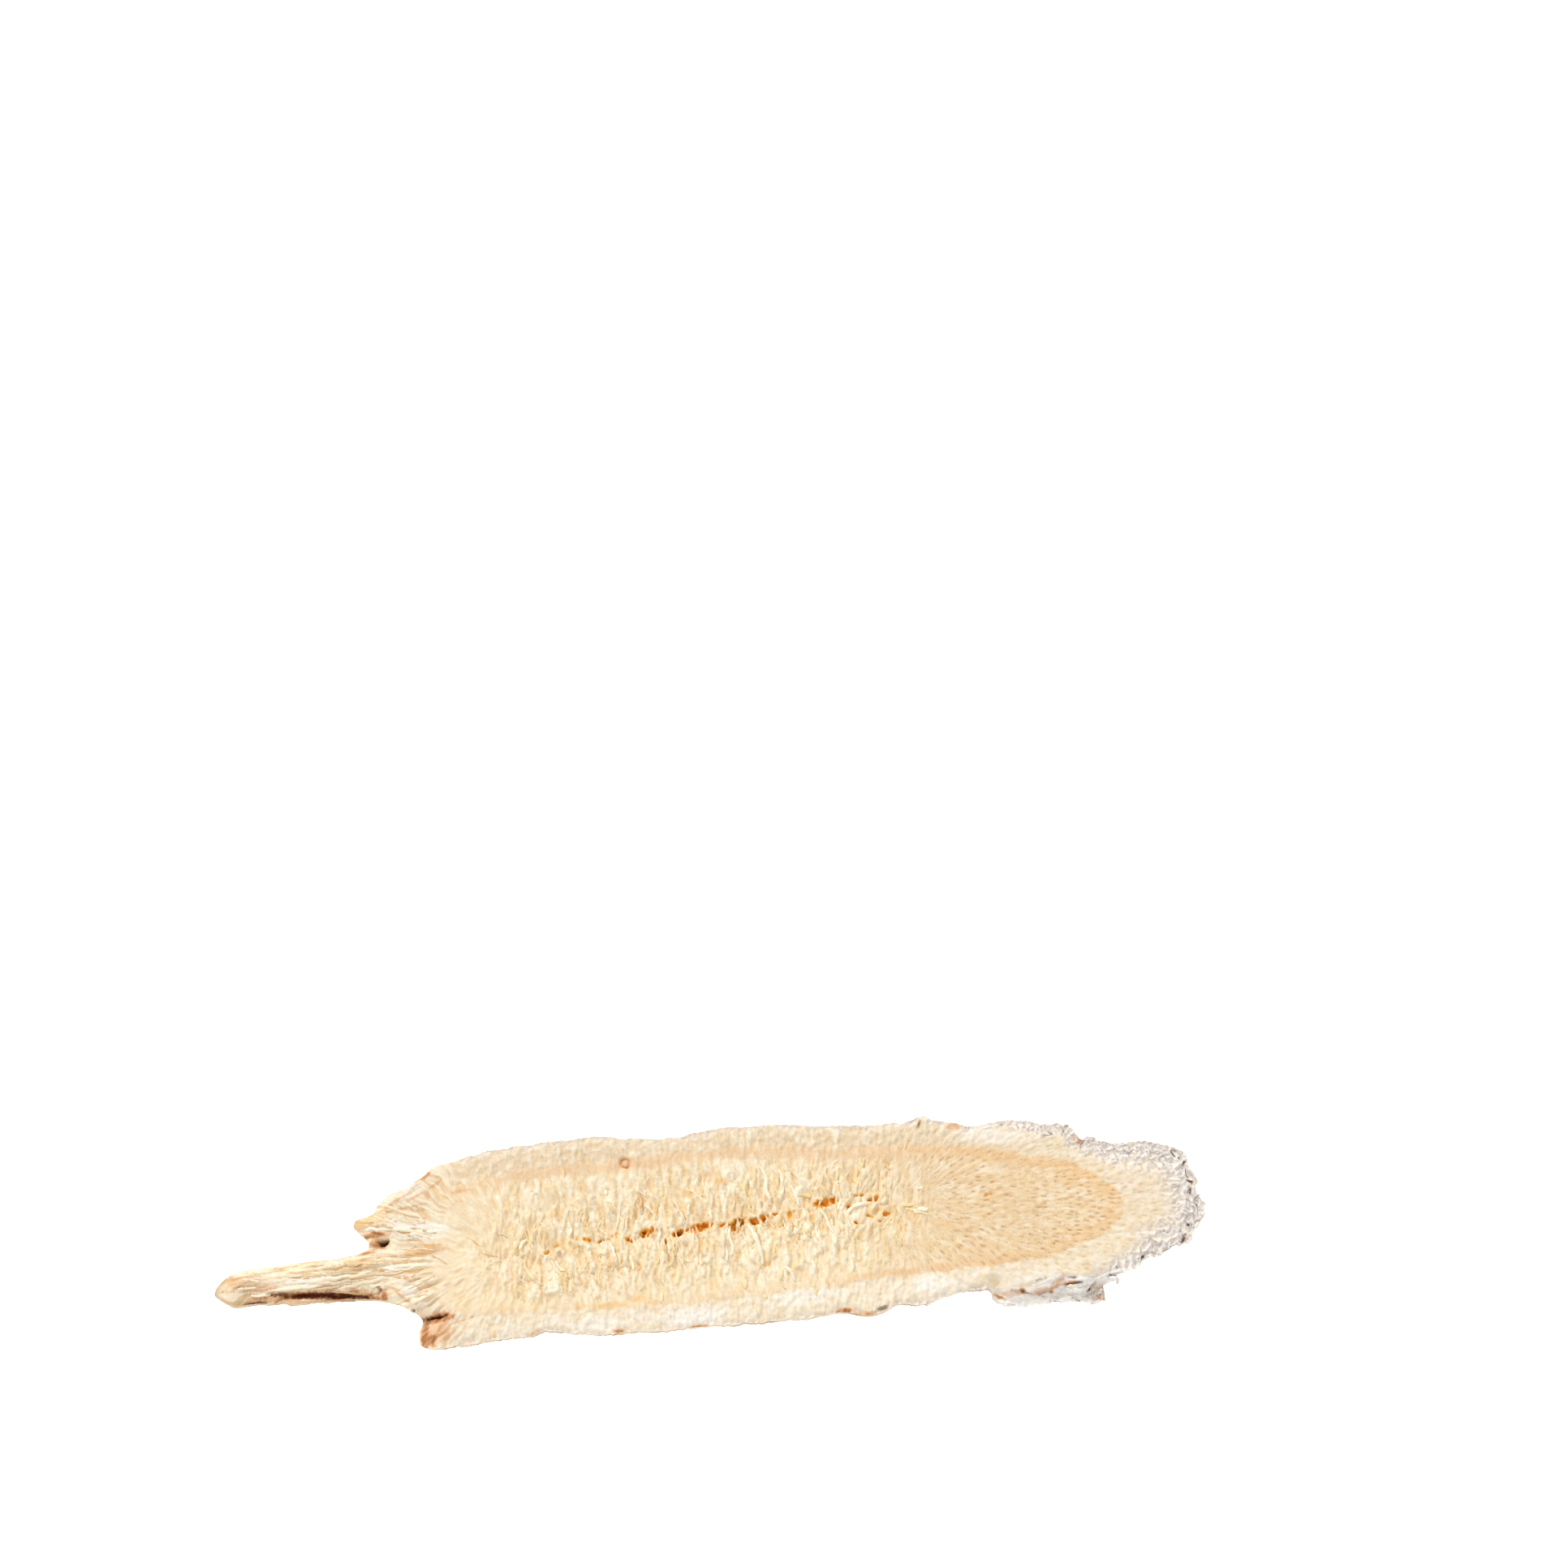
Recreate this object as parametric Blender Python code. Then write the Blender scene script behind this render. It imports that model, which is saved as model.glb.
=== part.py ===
"""A dried slice of astragalus root, cut slantwise, lying on its lower cut face.

The slice is one grown piece: a plate of wood inside a pale cortex and a thin cork rim, with a thin rootlet and
a broken stub at its crown end. +X runs along the slice to the blunt end, +Z is up, and the origin is on the
surface that the slice lies on, in the middle of its outline. Sizes are in millimetres until the last step.
"""

import math

import bmesh
import bpy
from mathutils import Matrix, Vector, geometry, noise

MM = 0.001

# Driving dimensions
THICKNESS = 3.4
LIE_DEG = 4.6  # how far the slice's length lies from the direction that the rim below was measured in
SLANT_REACH = 9.0  # the blunt end was cut slantwise: the bark runs back under the face over this length
SLANT_START, SLANT_FULL = 19.0, 33.0
BLUNT_EDGE = 0.9  # what is left of the thickness at the very edge of the blunt end
BLUNT_MIDDLE, BLUNT_RADII = (27.0, 2.5), (21.0, 9.6)  # the blunt end without its rags is half of this ellipse
BARK_BULGE = 0.22
BARK_WRINKLE = 0.16
BARK_TUCK = 0.3  # how far the lower edge of the bark sits inside the upper edge
THINNEST = 0.45
RIM_RAGGED = 0.13

# The relief of the upper face
FACE_WAVE = 0.16
FACE_LUMP = 0.07
FACE_TORN, TORN_REACH = 0.16, 3.2  # the torn fibres beside the heart crack, and how far from it they reach
BLUNT_LIFT = 0.3  # the blunt end curls up by this much
CORNER_DROP = 1.5  # the bark corner at the heel slopes down by this much
RIDGE_HEIGHT = 0.22  # the fibre bundles of the rootlet and the stub, which run on into the face

# How far apart the mesh's points are
TOP_SPACING = 0.86
UNDER_SPACING = 1.6
RIM_STEP = 1.05
CRACK_STEP = 0.9

# The rim seen from above, anticlockwise, measured from the middle of the heart crack
ROOTLET_UNDER = [(-47.9, -6.8), (-45.6, -7.0), (-41.8, -7.0), (-38.5, -6.7), (-35.8, -6.5), (-33.4, -6.6)]
ROOTLET_HEEL = [(-31.2, -7.0), (-30.2, -7.6), (-29.1, -8.2)]
CORNER = [(-29.3, -9.6), (-29.2, -10.8), (-28.4, -11.4), (-25.5, -11.2), (-21.8, -10.6), (-18.2, -10.2)]
NEAR_RIM = [
    (-16.6, -9.7),
    (-12.8, -10.0),
    (-9.2, -9.9),
    (-3.4, -9.5),
    (0.2, -9.2),
    (7.2, -8.6),
    (11.6, -8.0),
    (13.2, -7.9),
    (15.3, -8.2),
    (17.0, -7.7),
    (18.2, -7.1),
    (20.8, -7.0),
    (23.8, -6.0),
    (27.2, -5.6),
]
BARK_LEDGE = [
    (27.7, -6.3),
    (28.5, -6.8),
    (30.9, -7.1),
    (34.0, -6.7),
    (36.6, -6.6),
    (37.7, -6.8),
    (38.8, -6.3),
    (38.8, -5.0),
    (39.6, -4.5),
    (39.9, -4.0),
]
BLUNT_END = [
    (41.6, -3.4),
    (42.6, -2.6),
    (44.2, -2.0),
    (45.4, -1.3),
    (46.9, -0.9),
    (47.4, 0.3),
    (48.2, 2.0),
    (48.3, 3.2),
    (47.4, 4.2),
    (47.6, 5.3),
    (46.9, 6.5),
    (46.6, 7.5),
    (45.9, 8.3),
    (44.8, 8.8),
    (42.0, 9.2),
    (39.0, 9.0),
    (36.9, 9.8),
    (36.1, 9.4),
]
FAR_RIM = [
    (35.4, 10.6),
    (34.4, 10.9),
    (32.2, 11.0),
    (29.7, 11.4),
    (27.6, 11.1),
    (25.2, 10.7),
    (23.6, 11.1),
    (21.4, 11.4),
    (20.6, 11.8),
    (18.8, 11.1),
    (16.6, 10.9),
    (11.0, 10.7),
    (7.4, 10.9),
    (1.8, 10.6),
    (-1.3, 10.2),
    (-4.3, 9.6),
    (-8.2, 9.6),
    (-12.0, 9.7),
    (-18.2, 8.9),
    (-22.3, 8.3),
    (-25.4, 7.4),
    (-27.8, 6.6),
    (-28.7, 5.9),
    (-30.3, 4.8),
    (-32.1, 3.9),
    (-33.4, 2.9),
]
STUB = [(-33.6, 2.3), (-34.6, 1.9), (-35.5, 1.5), (-35.8, 0.9), (-35.5, 0.3), (-34.7, -0.3)]
CROTCH = [(-34.2, -1.2), (-35.4, -1.9)]
ROOTLET_TOP = [
    (-37.4, -2.3),
    (-39.9, -2.6),
    (-42.6, -3.0),
    (-44.8, -3.3),
    (-47.3, -4.0),
    (-48.4, -4.7),
    (-49.0, -5.8),
]
RIM = (
    ROOTLET_UNDER
    + ROOTLET_HEEL
    + CORNER
    + NEAR_RIM
    + BARK_LEDGE
    + BLUNT_END
    + FAR_RIM
    + STUB
    + CROTCH
    + ROOTLET_TOP
)

# The crack at the heart of the root: place, half width and depth along it
HEART_CRACK = [
    (-16.6, -2.1, 0.25, 0.3),
    (-13.2, -0.9, 0.35, 0.6),
    (-9.6, -0.2, 0.4, 0.8),
    (-6.2, 0.2, 0.55, 1.3),
    (-4.4, 0.5, 0.4, 0.6),
    (-1.8, 1.1, 0.6, 1.4),
    (1.6, 1.5, 0.7, 1.2),
    (5.4, 2.0, 0.45, 0.6),
    (10.4, 3.2, 0.6, 1.1),
    (13.6, 3.2, 0.6, 0.9),
    (16.6, 2.9, 0.4, 0.3),
]
# Hollows: place, radius along and across, direction in degrees, depth
HOLLOWS = {
    "knot by the stub": (-32.6, -1.0, 0.8, 0.5, 8, 1.5),
    "fold at the heel": (-28.0, -8.2, 1.5, 0.45, 8, 1.7),
    "borer hole": (-8.8, 6.9, 0.5, 0.5, 0, 0.5),
    "gap behind the ledge": (33.4, -5.3, 2.6, 0.45, 6, 1.3),
    "slit behind the ledge": (37.4, -5.0, 1.3, 0.4, 40, 1.6),
}
LEDGE_START, LEDGE_END = 27.2, 39.4
LEDGE_DROP = 1.5
LEDGE_DEPTH = 1.6  # how far the ledge reaches in from its own edge

# The round pieces at the crown end
CROWN_START, CROWN_END = -30.5, -34.5
ROOTLET_RADIUS = 1.75
ROOTLET_LIFT = 0.75  # how far the middle of the rootlet's tip sits above the middle of the plate
TAPER_START, TIP_X = -45.0, -49.0
TIP_TAPER = 0.35

# The upright bark between the two faces, and the radius that rounds the faces into it
PLATE_WALL, ROOTLET_WALL = 0.8 * THICKNESS, 0.7
PLATE_ROUND, ROOTLET_ROUND = 0.7, 1.7


def ease(low, high, value):
    """0 at low and 1 at high, with a smooth start and end; low may be the larger."""
    share = min(max((value - low) / (high - low), 0.0), 1.0)
    return share * share * (3 - 2 * share)


def curve_point(a, b, c, d, t):
    """A point between b and c on the Catmull-Rom curve through four points."""
    return 0.5 * (2 * b + (c - a) * t + (2 * a - 5 * b + 4 * c - d) * t**2 + (3 * b - a - 3 * c + d) * t**3)


def rim_outline():
    """The ragged rim as a closed list of points, with more of them where the shape turns often."""
    corners = [Vector(point) for point in RIM]
    count = len(corners)
    outline = []
    for i in range(count):
        near = [corners[(i + step) % count] for step in (-1, 0, 1, 2)]
        pieces = max(1, round((near[2] - near[1]).length / RIM_STEP))
        for step in range(pieces):
            point = curve_point(*near, step / pieces)
            shake = noise.noise_vector(Vector((point.x * 0.9, point.y * 0.9, 4.2)))
            outline.append(point + RIM_RAGGED * Vector((shake.x, shake.y)))
    return outline


def outward(outline):
    """The direction that points out of the slice at each point of the rim."""
    count = len(outline)
    found = []
    for i in range(count):
        along = outline[(i + 1) % count] - outline[i - 1]
        found.append(Vector((along.y, -along.x)).normalized())
    return found


def rim_distance(point, outline):
    """How far a point lies from the rim."""
    nearest = 1e9
    for i, end in enumerate(outline):
        start = outline[i - 1]
        along = end - start
        share = min(max((point - start).dot(along) / along.length_squared, 0.0), 1.0)
        nearest = min(nearest, (start + along * share - point).length)
    return nearest


def inside(point, outline):
    """True if a point lies within the rim."""
    crossings = 0
    for i, end in enumerate(outline):
        start = outline[i - 1]
        if (start.y > point.y) != (end.y > point.y):
            share = (point.y - start.y) / (end.y - start.y)
            crossings += start.x + share * (end.x - start.x) > point.x
    return crossings % 2 == 1


def crown(x):
    """0 on the plate and 1 on the rootlet and the stub."""
    return ease(CROWN_START, CROWN_END, x)


def mixed(plate, rootlet, x):
    """A size that goes over from the plate's value to the rootlet's at the crown end."""
    return plate + (rootlet - plate) * crown(x)


def middle_height(x):
    """The height of the middle of the wood: level in the plate, and rising along the rootlet."""
    return THICKNESS / 2 + ROOTLET_LIFT * ease(CROWN_START, TIP_X, x) + 0.1 * crown(x)


def half_thickness(x):
    tip = 1 - TIP_TAPER * ease(TAPER_START, TIP_X, x)
    return mixed(THICKNESS / 2, ROOTLET_RADIUS * tip, x)


def half_wall(x):
    """Half of the height of the upright bark: nearly all of the plate, and little of a round piece."""
    return mixed(PLATE_WALL, ROOTLET_WALL, x) / 2


def rounding(x, rim_gap):
    """How much of the way from the wall to its full thickness the wood has come, this far from the rim."""
    short = 1 - min(rim_gap / mixed(PLATE_ROUND, ROOTLET_ROUND, x), 1.0)
    return math.sqrt(1 - short * short)


def ridges(point):
    """The fibre bundles that run along the rootlet and the stub and fan out into the face."""
    x, y = point
    return RIDGE_HEIGHT * ease(-24.0, -30.0, x) * noise.noise(Vector((x * 0.13, y * 0.95, 3.1)))


def torn_fibres(point):
    """The uneven wood beside the heart crack."""
    share = ease(TORN_REACH, 0.6, crack_gap(point))
    return FACE_TORN * share * noise.noise(Vector((point.x * 0.9, point.y * 0.55, 5.5)))


def face_height(point, rim_gap):
    """The height of the upper face before its cracks and hollows."""
    x, y = point
    wall = half_wall(x)
    height = middle_height(x) + wall + (half_thickness(x) - wall) * rounding(x, rim_gap)
    height += FACE_WAVE * noise.noise(Vector((x * 0.11, y * 0.2, 1.3)))
    height += FACE_LUMP * noise.noise(Vector((x * 0.45, y * 0.45, 7.7))) * min(rim_gap, 1.0)
    height += (ridges(point) + torn_fibres(point)) * min(rim_gap, 1.0)
    height -= CORNER_DROP * ease(-27.0, -29.3, x) * ease(-7.6, -8.6, y)
    height += BLUNT_LIFT * ease(30.0, 48.0, x)
    return height


def ledge_share(point, rim_gap):
    """1 on the bark ledge that curls away below the near rim, and 0 off it."""
    x, y = point
    along = ease(LEDGE_START, LEDGE_START + 0.8, x) * ease(LEDGE_END + 0.5, LEDGE_END - 0.5, x)
    return along * ease(LEDGE_DEPTH, LEDGE_DEPTH - 0.5, rim_gap) * ease(-3.6, -4.4, y)


def crack_stretches():
    """The heart crack's straight stretches: start, the way to the end, and the widths and depths at both."""
    for (x0, y0, width0, depth0), (x1, y1, width1, depth1) in zip(HEART_CRACK, HEART_CRACK[1:]):
        yield Vector((x0, y0)), Vector((x1 - x0, y1 - y0)), (width0, width1), (depth0, depth1)


def crack_gap(point):
    """How far a point lies from the line of the heart crack."""
    gaps = []
    for start, along, _, _ in crack_stretches():
        share = min(max((point - start).dot(along) / along.length_squared, 0.0), 1.0)
        gaps.append((start + along * share - point).length)
    return min(gaps)


def crack_depth(point):
    """How deep the heart crack is at a point."""
    deepest = 0.0
    for start, along, widths, depths in crack_stretches():
        share = min(max((point - start).dot(along) / along.length_squared, 0.0), 1.0)
        gap = (start + along * share - point).length
        width = widths[0] + (widths[1] - widths[0]) * share
        depth = depths[0] + (depths[1] - depths[0]) * share
        deepest = max(deepest, depth * ease(width * 1.4, width * 0.2, gap))
    return deepest


def hollow_depth(point):
    """How deep the hollows are at a point."""
    deepest = 0.0
    for x, y, reach, width, turn, depth in HOLLOWS.values():
        local = Matrix.Rotation(-math.radians(turn), 2) @ (point - Vector((x, y)))
        gap = math.hypot(local.x / reach, local.y / width)
        deepest = max(deepest, depth * ease(1.3, 0.3, gap))
    return deepest


def top_height(point, outline):
    rim_gap = rim_distance(point, outline)
    height = face_height(point, rim_gap)
    height -= LEDGE_DROP * ledge_share(point, rim_gap)
    return height - max(crack_depth(point), hollow_depth(point))


def slant_height(point):
    """How far the bark has come up from the surface under the blunt end."""
    across = (point.y - BLUNT_MIDDLE[1]) / BLUNT_RADII[1]
    end_x = BLUNT_MIDDLE[0] + BLUNT_RADII[0] * math.sqrt(max(1 - across * across, 0.0))
    share = min(max(1 - (end_x - point.x) / SLANT_REACH, 0.0), 1.0)
    return (THICKNESS - BLUNT_EDGE) * share**1.15 * ease(SLANT_START, SLANT_FULL, point.x)


def under_height(point, outline):
    """The height of the underside: flat where the slice lies on it, and coming up under the blunt end."""
    x = point.x
    wall = half_wall(x)
    rounded = rounding(x, rim_distance(point, outline))
    height = middle_height(x) - wall - (half_thickness(x) - wall) * rounded
    return max(height, slant_height(point), 0.0)


def grid_points(outline, spacing, clearance):
    """Staggered rows of points inside the rim, kept clear of it."""
    left = min(point.x for point in outline)
    right = max(point.x for point in outline)
    low = min(point.y for point in outline)
    high = max(point.y for point in outline)
    rise = spacing * math.sqrt(3) / 2
    found = []
    for row in range(int((high - low) / rise) + 1):
        for step in range(int((right - left) / spacing) + 1):
            point = Vector((left + (step + 0.5 * (row % 2)) * spacing, low + row * rise))
            if inside(point, outline) and rim_distance(point, outline) > clearance:
                found.append(point)
    return found


def crack_points():
    """Points along the floor and both lips of the heart crack."""
    found = []
    for start, along, widths, _ in crack_stretches():
        side = Vector((-along.y, along.x)).normalized()
        steps = max(1, round(along.length / CRACK_STEP))
        for step in range(steps):
            share = step / steps
            width = widths[0] + (widths[1] - widths[0]) * share
            for offset in (-1.4, 0.0, 1.4):
                found.append(start + along * share + side * offset * width)
    return found


def hollow_points():
    """The middle and a ring of points for each hollow."""
    found = []
    for x, y, reach, width, turn, _ in HOLLOWS.values():
        spin = Matrix.Rotation(math.radians(turn), 2)
        found.append(Vector((x, y)))
        for size in (0.55, 1.25):
            for step in range(8):
                angle = math.tau * step / 8
                around = Vector((math.cos(angle) * reach, math.sin(angle) * width))
                found.append(Vector((x, y)) + spin @ around * size)
    return found


def thinned(points, outline, clearance, gap):
    """The points that are clear of the rim and of each other, the first of any close pair kept."""
    kept = []
    for point in points:
        if not inside(point, outline) or rim_distance(point, outline) < clearance:
            continue
        if all((point - other).length > gap for other in kept):
            kept.append(point)
    return kept


def add_face(bm, outline, rim_verts, points, height_at, upward):
    """Fills the rim with triangles over the points, at the heights that height_at gives."""
    flat = list(outline) + points
    edges = [(i, (i + 1) % len(outline)) for i in range(len(outline))]
    placed, _, triangles, sources, _, _ = geometry.delaunay_2d_cdt(flat, edges, [], 1, 1e-6)
    verts = []
    for place, source in zip(placed, sources):
        if source and source[0] < len(outline):
            verts.append(rim_verts[source[0]])
        else:
            verts.append(bm.verts.new((place.x, place.y, height_at(place))))
    for triangle in triangles:
        corners = [verts[i] for i in triangle]
        bm.faces.new(corners if upward else corners[::-1])


def add_ring(bm, outline, directions, offset_at, height_at):
    """A ring of points around the rim, moved outwards by offset_at and lifted to height_at."""
    ring = []
    for point, direction in zip(outline, directions):
        place = point + direction * offset_at(point)
        ring.append(bm.verts.new((place.x, place.y, height_at(point))))
    return ring


def bridge(bm, upper, lower):
    """Joins two rings of the bark wall."""
    for i in range(len(upper)):
        bm.faces.new((upper[i - 1], lower[i - 1], lower[i], upper[i]))


def build_slice():
    """The whole slice as one closed mesh, in metres, on its origin."""
    outline = rim_outline()
    directions = outward(outline)
    bm = bmesh.new()

    def tuck(point):
        return -BARK_TUCK * (1 - 0.7 * crown(point.x)) * ease(49.0, 44.0, point.x)

    def wrinkle(point):
        return BARK_BULGE + BARK_WRINKLE * noise.noise(Vector((point.x * 0.8, point.y * 0.8, 9.1)))

    def rim_top(point):
        return top_height(point, outline)

    def rim_under(point):
        return min(under_height(point, outline), rim_top(point) - THINNEST)

    def between(share):
        return lambda point: rim_top(point) * (1 - share) + rim_under(point) * share

    top_ring = add_ring(bm, outline, directions, lambda point: 0.0, rim_top)
    bark_rings = [add_ring(bm, outline, directions, wrinkle, between(share)) for share in (0.35, 0.7)]
    tucked = [point + direction * tuck(point) for point, direction in zip(outline, directions)]
    under_ring = add_ring(bm, outline, directions, tuck, rim_under)

    fine = thinned(crack_points() + hollow_points(), outline, 0.25, 0.3)
    grid = grid_points(outline, TOP_SPACING, 0.45)
    open_ground = [point for point in grid if all((point - other).length > 0.5 for other in fine)]
    add_face(bm, outline, top_ring, fine + open_ground, rim_top, upward=True)
    for upper, lower in zip([top_ring, *bark_rings], [*bark_rings, under_ring]):
        bridge(bm, upper, lower)
    under_points = grid_points(tucked, UNDER_SPACING, 0.6)
    add_face(bm, tucked, under_ring, under_points, lambda point: under_height(point, outline), upward=False)

    turn = Matrix.Rotation(-math.radians(LIE_DEG), 3, "Z")
    bmesh.ops.rotate(bm, verts=bm.verts, cent=(0, 0, 0), matrix=turn)
    xs = [vert.co.x for vert in bm.verts]
    ys = [vert.co.y for vert in bm.verts]
    middle = Vector(((min(xs) + max(xs)) / 2, (min(ys) + max(ys)) / 2, min(vert.co.z for vert in bm.verts)))
    bmesh.ops.translate(bm, verts=bm.verts, vec=-middle)
    bmesh.ops.scale(bm, verts=bm.verts, vec=(MM, MM, MM))
    bmesh.ops.recalc_face_normals(bm, faces=bm.faces)
    mesh = bpy.data.meshes.new("root_slice")
    bm.to_mesh(mesh)
    bm.free()
    return mesh


def dried_wood():
    """Pale, dry, matt wood."""
    material = bpy.data.materials.new("dried_wood")
    material.use_nodes = True
    shader = material.node_tree.nodes["Principled BSDF"]
    shader.inputs["Base Color"].default_value = (0.87, 0.71, 0.46, 1.0)
    shader.inputs["Roughness"].default_value = 0.85
    shader.inputs["Metallic"].default_value = 0.0
    return material


def main():
    for old in list(bpy.data.objects):
        bpy.data.objects.remove(old)
    slice_object = bpy.data.objects.new("root_slice", build_slice())
    slice_object.data.materials.append(dried_wood())
    bpy.context.scene.collection.objects.link(slice_object)


main()
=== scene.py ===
"""The looks of a dried slice of astragalus root, laid out as an add-on and run as a script.

The slice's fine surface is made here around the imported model: the fibrous cut face, the bark and the
underside, the torn fibres at the heart crack, the cork rim and the rootlet's fibres. Places on the slice are
given in a level frame of its own, in millimetres: u runs along the slice to its blunt end, v across it, and
its origin is in the heart crack. In a zone, a pair of values, the surface changes from one kind to the next.
"""

import functools
import math

import bmesh
import bpy
import numpy as np
from bpy.props import FloatProperty, FloatVectorProperty, IntProperty, PointerProperty
from mathutils import Matrix, Vector, geometry
from mathutils.bvhtree import BVHTree


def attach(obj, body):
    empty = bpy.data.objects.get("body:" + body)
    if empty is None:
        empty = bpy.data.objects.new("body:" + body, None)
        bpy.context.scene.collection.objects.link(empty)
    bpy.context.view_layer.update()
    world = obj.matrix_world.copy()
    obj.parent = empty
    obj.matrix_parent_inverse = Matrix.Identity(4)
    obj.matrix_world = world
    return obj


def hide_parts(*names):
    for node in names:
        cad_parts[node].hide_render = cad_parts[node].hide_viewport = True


bl_info = {
    "name": "Dried Root Slice",
    "version": (1, 0, 0),
    "blender": (4, 5, 0),
    "location": "View3D > Sidebar > Root",
    "description": "Builds the fine surface of a dried root slice around its solid, and the stage",
    "category": "Object",
}

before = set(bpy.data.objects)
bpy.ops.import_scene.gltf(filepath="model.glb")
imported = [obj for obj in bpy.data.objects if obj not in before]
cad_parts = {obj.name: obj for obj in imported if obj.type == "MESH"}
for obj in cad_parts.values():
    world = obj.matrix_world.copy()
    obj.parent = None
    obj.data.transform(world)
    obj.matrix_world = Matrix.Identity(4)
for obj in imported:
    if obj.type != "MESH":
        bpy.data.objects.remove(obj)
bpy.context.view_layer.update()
SLICE_NODE = "root_slice"

MM = 0.001
LIE_DEG = 4.6  # how far u is turned from the part's X
HEART_PLACE = (0.535, -0.338)  # where the level frame's origin lies on the part's X and Y

# The camera: its picture's width and focal length in pixels, how steeply it looks down, the pixel at which
# the level frame's origin is seen, the pixels to a millimetre there, and the face's height there
PICTURE_WIDTH = 1932
FOCAL_PIXELS = 2400.0
CAMERA_TILT = math.radians(67.0)
HEART_PIXEL = (880, 1520)
PIXELS_PER_MM = 12.5
FACE_HEIGHT = 3.5

CROWDED, TALLEST = 3.85, 4.24  # heights from the first on are squeezed, and stay under the second
RIM_INSET = 0.12  # how far the face's edge lies inside the solid's bulging bark
SKIN_INSET = 0.14  # how far inside its ragged rim the face meets the bark
EDGE_RADIUS = 0.3  # how round the upper face's edge is
UPWARD = 0.05  # how far a normal points up at least on a face that counts as the top

# Zones along u, from the crown end to the blunt end
TIP_ZONE = (-45.0, -48.0)
SHOOT_ZONE = (-33.0, -36.0)
ROUND_ZONE = (-30.0, -34.0)
CROWN_ZONE = (-26.0, -29.5)
QUIET_ZONE = (-17.0, -25.0)
TORN_ZONE = (24.0, 13.0)
TAN_ZONE = (10.0, 24.0)
BLUNT_ZONE = (24.0, 36.0)
CORK_ZONE = (8.0, 30.0)
WIDE_CORK_ZONE = (33.0, 45.0)
FAR_CORK_ZONE = (24.0, 32.0)
RAG_ZONE = (20.0, 38.0)
GREY_BARK_ZONE = (24.0, 34.0)
LEDGE_START, LEDGE_END = (26.9, 27.5), (41.5, 39.5)

# Zones over the distance from the heart line
CLOSE_ZONE = (7.5, 1.0)
FIBRE_ZONE = (4.5, 0.4)
FAR_FAN_ZONE = (9.0, 16.0)
POLE_ZONE = (6.0, 2.5)

# The heart of the root, from which its rays and fibres run outwards
HEART_LINE = [(-20.0, -2.3), (-16.6, -2.1), (-9.6, -0.2), (-1.8, 1.1), (5.4, 2.0), (13.6, 3.2), (17.6, 2.9)]

# The pits along the heart crack: place, half length, half width, direction in degrees, depth
CRACK_PITS = [
    (-16.5, -1.8, 0.35, 0.18, 40, 0.5), (-15.6, -1.2, 0.5, 0.12, 25, 0.3), (-13.7, -0.5, 0.4, 0.15, 0, 0.3),
    (-12.5, -0.6, 0.6, 0.2, -10, 0.7), (-11.2, -0.7, 0.3, 0.12, 30, 0.8), (-9.9, -0.1, 0.35, 0.12, 35, 0.5),
    (-8.3, -0.6, 0.5, 0.2, -20, 1.0), (-6.8, 0.1, 0.6, 0.38, 20, 1.3), (-6.1, 0.5, 0.25, 0.12, -70, 1.2),
    (-4.8, -0.7, 0.25, 0.12, -75, 0.7), (-3.5, 0.1, 0.8, 0.3, 25, 1.4), (-1.3, 0.7, 1.00, 0.35, 15, 1.4),
    (0.8, 0.9, 0.35, 0.15, 30, 1.0), (2.3, 0.9, 0.8, 0.55, 40, 1.3), (4.4, 1.4, 0.9, 0.35, 20, 1.4),
    (6.0, 2.0, 0.25, 0.1, 0, 0.8), (6.9, 0.9, 0.2, 0.12, 0, 0.7), (7.5, 2.0, 0.4, 0.3, 80, 0.5),
    (8.3, 1.6, 0.15, 0.1, 0, 0.6), (11.0, 3.1, 1.2, 0.38, 15, 1.1), (13.3, 2.7, 0.3, 0.25, 0, 0.6),
    (14.2, 3.8, 0.6, 0.12, 5, 0.6), (14.0, 1.1, 0.25, 0.12, -30, 0.6), (15.3, 1.8, 0.4, 0.12, -15, 0.6),
    (15.6, 3.4, 0.6, 0.25, 25, 1.0), (16.2, 1.3, 0.35, 0.1, -15, 0.7), (17.0, 2.0, 0.35, 0.2, 0, 0.8),
    (27.1, 3.9, 0.5, 0.1, 10, 0.4), (37.0, 3.1, 0.5, 0.07, 0, 0.2), (39.2, 4.9, 0.7, 0.09, 10, 0.3),
]

# The holes and folds of the crown end and the near rim, in the same way
BARK_PITS = [
    (-32.8, -0.8, 0.5, 0.3, 15, 1.3), (-29.7, -7.5, 0.15, 0.15, 0, 0.5), (-27.6, -8.1, 1.25, 0.15, 6, 0.8),
    (-38.9, -6.05, 4.8, 0.28, 2, 0.7), (37.4, -5.05, 0.62, 0.13, 48, 0.9),
    (39.4, -4.0, 0.35, 0.08, -12, 0.5), (30.4, -5.5, 0.9, 0.16, -10, 0.5),
    (33.0, -5.25, 1.3, 0.18, 20, 0.45), (35.6, -4.75, 0.8, 0.12, 5, 0.4), (35.9, -5.75, 0.9, 0.12, 5, 0.3),
]

# The bark ledge lies on the near side of this line
LEDGE_LINE = [
    (26.9, -6.2), (27.6, -5.4), (31.0, -5.2), (34.5, -4.1), (37.0, -4.1), (39.8, -3.5), (42.0, -3.9),
]

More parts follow.
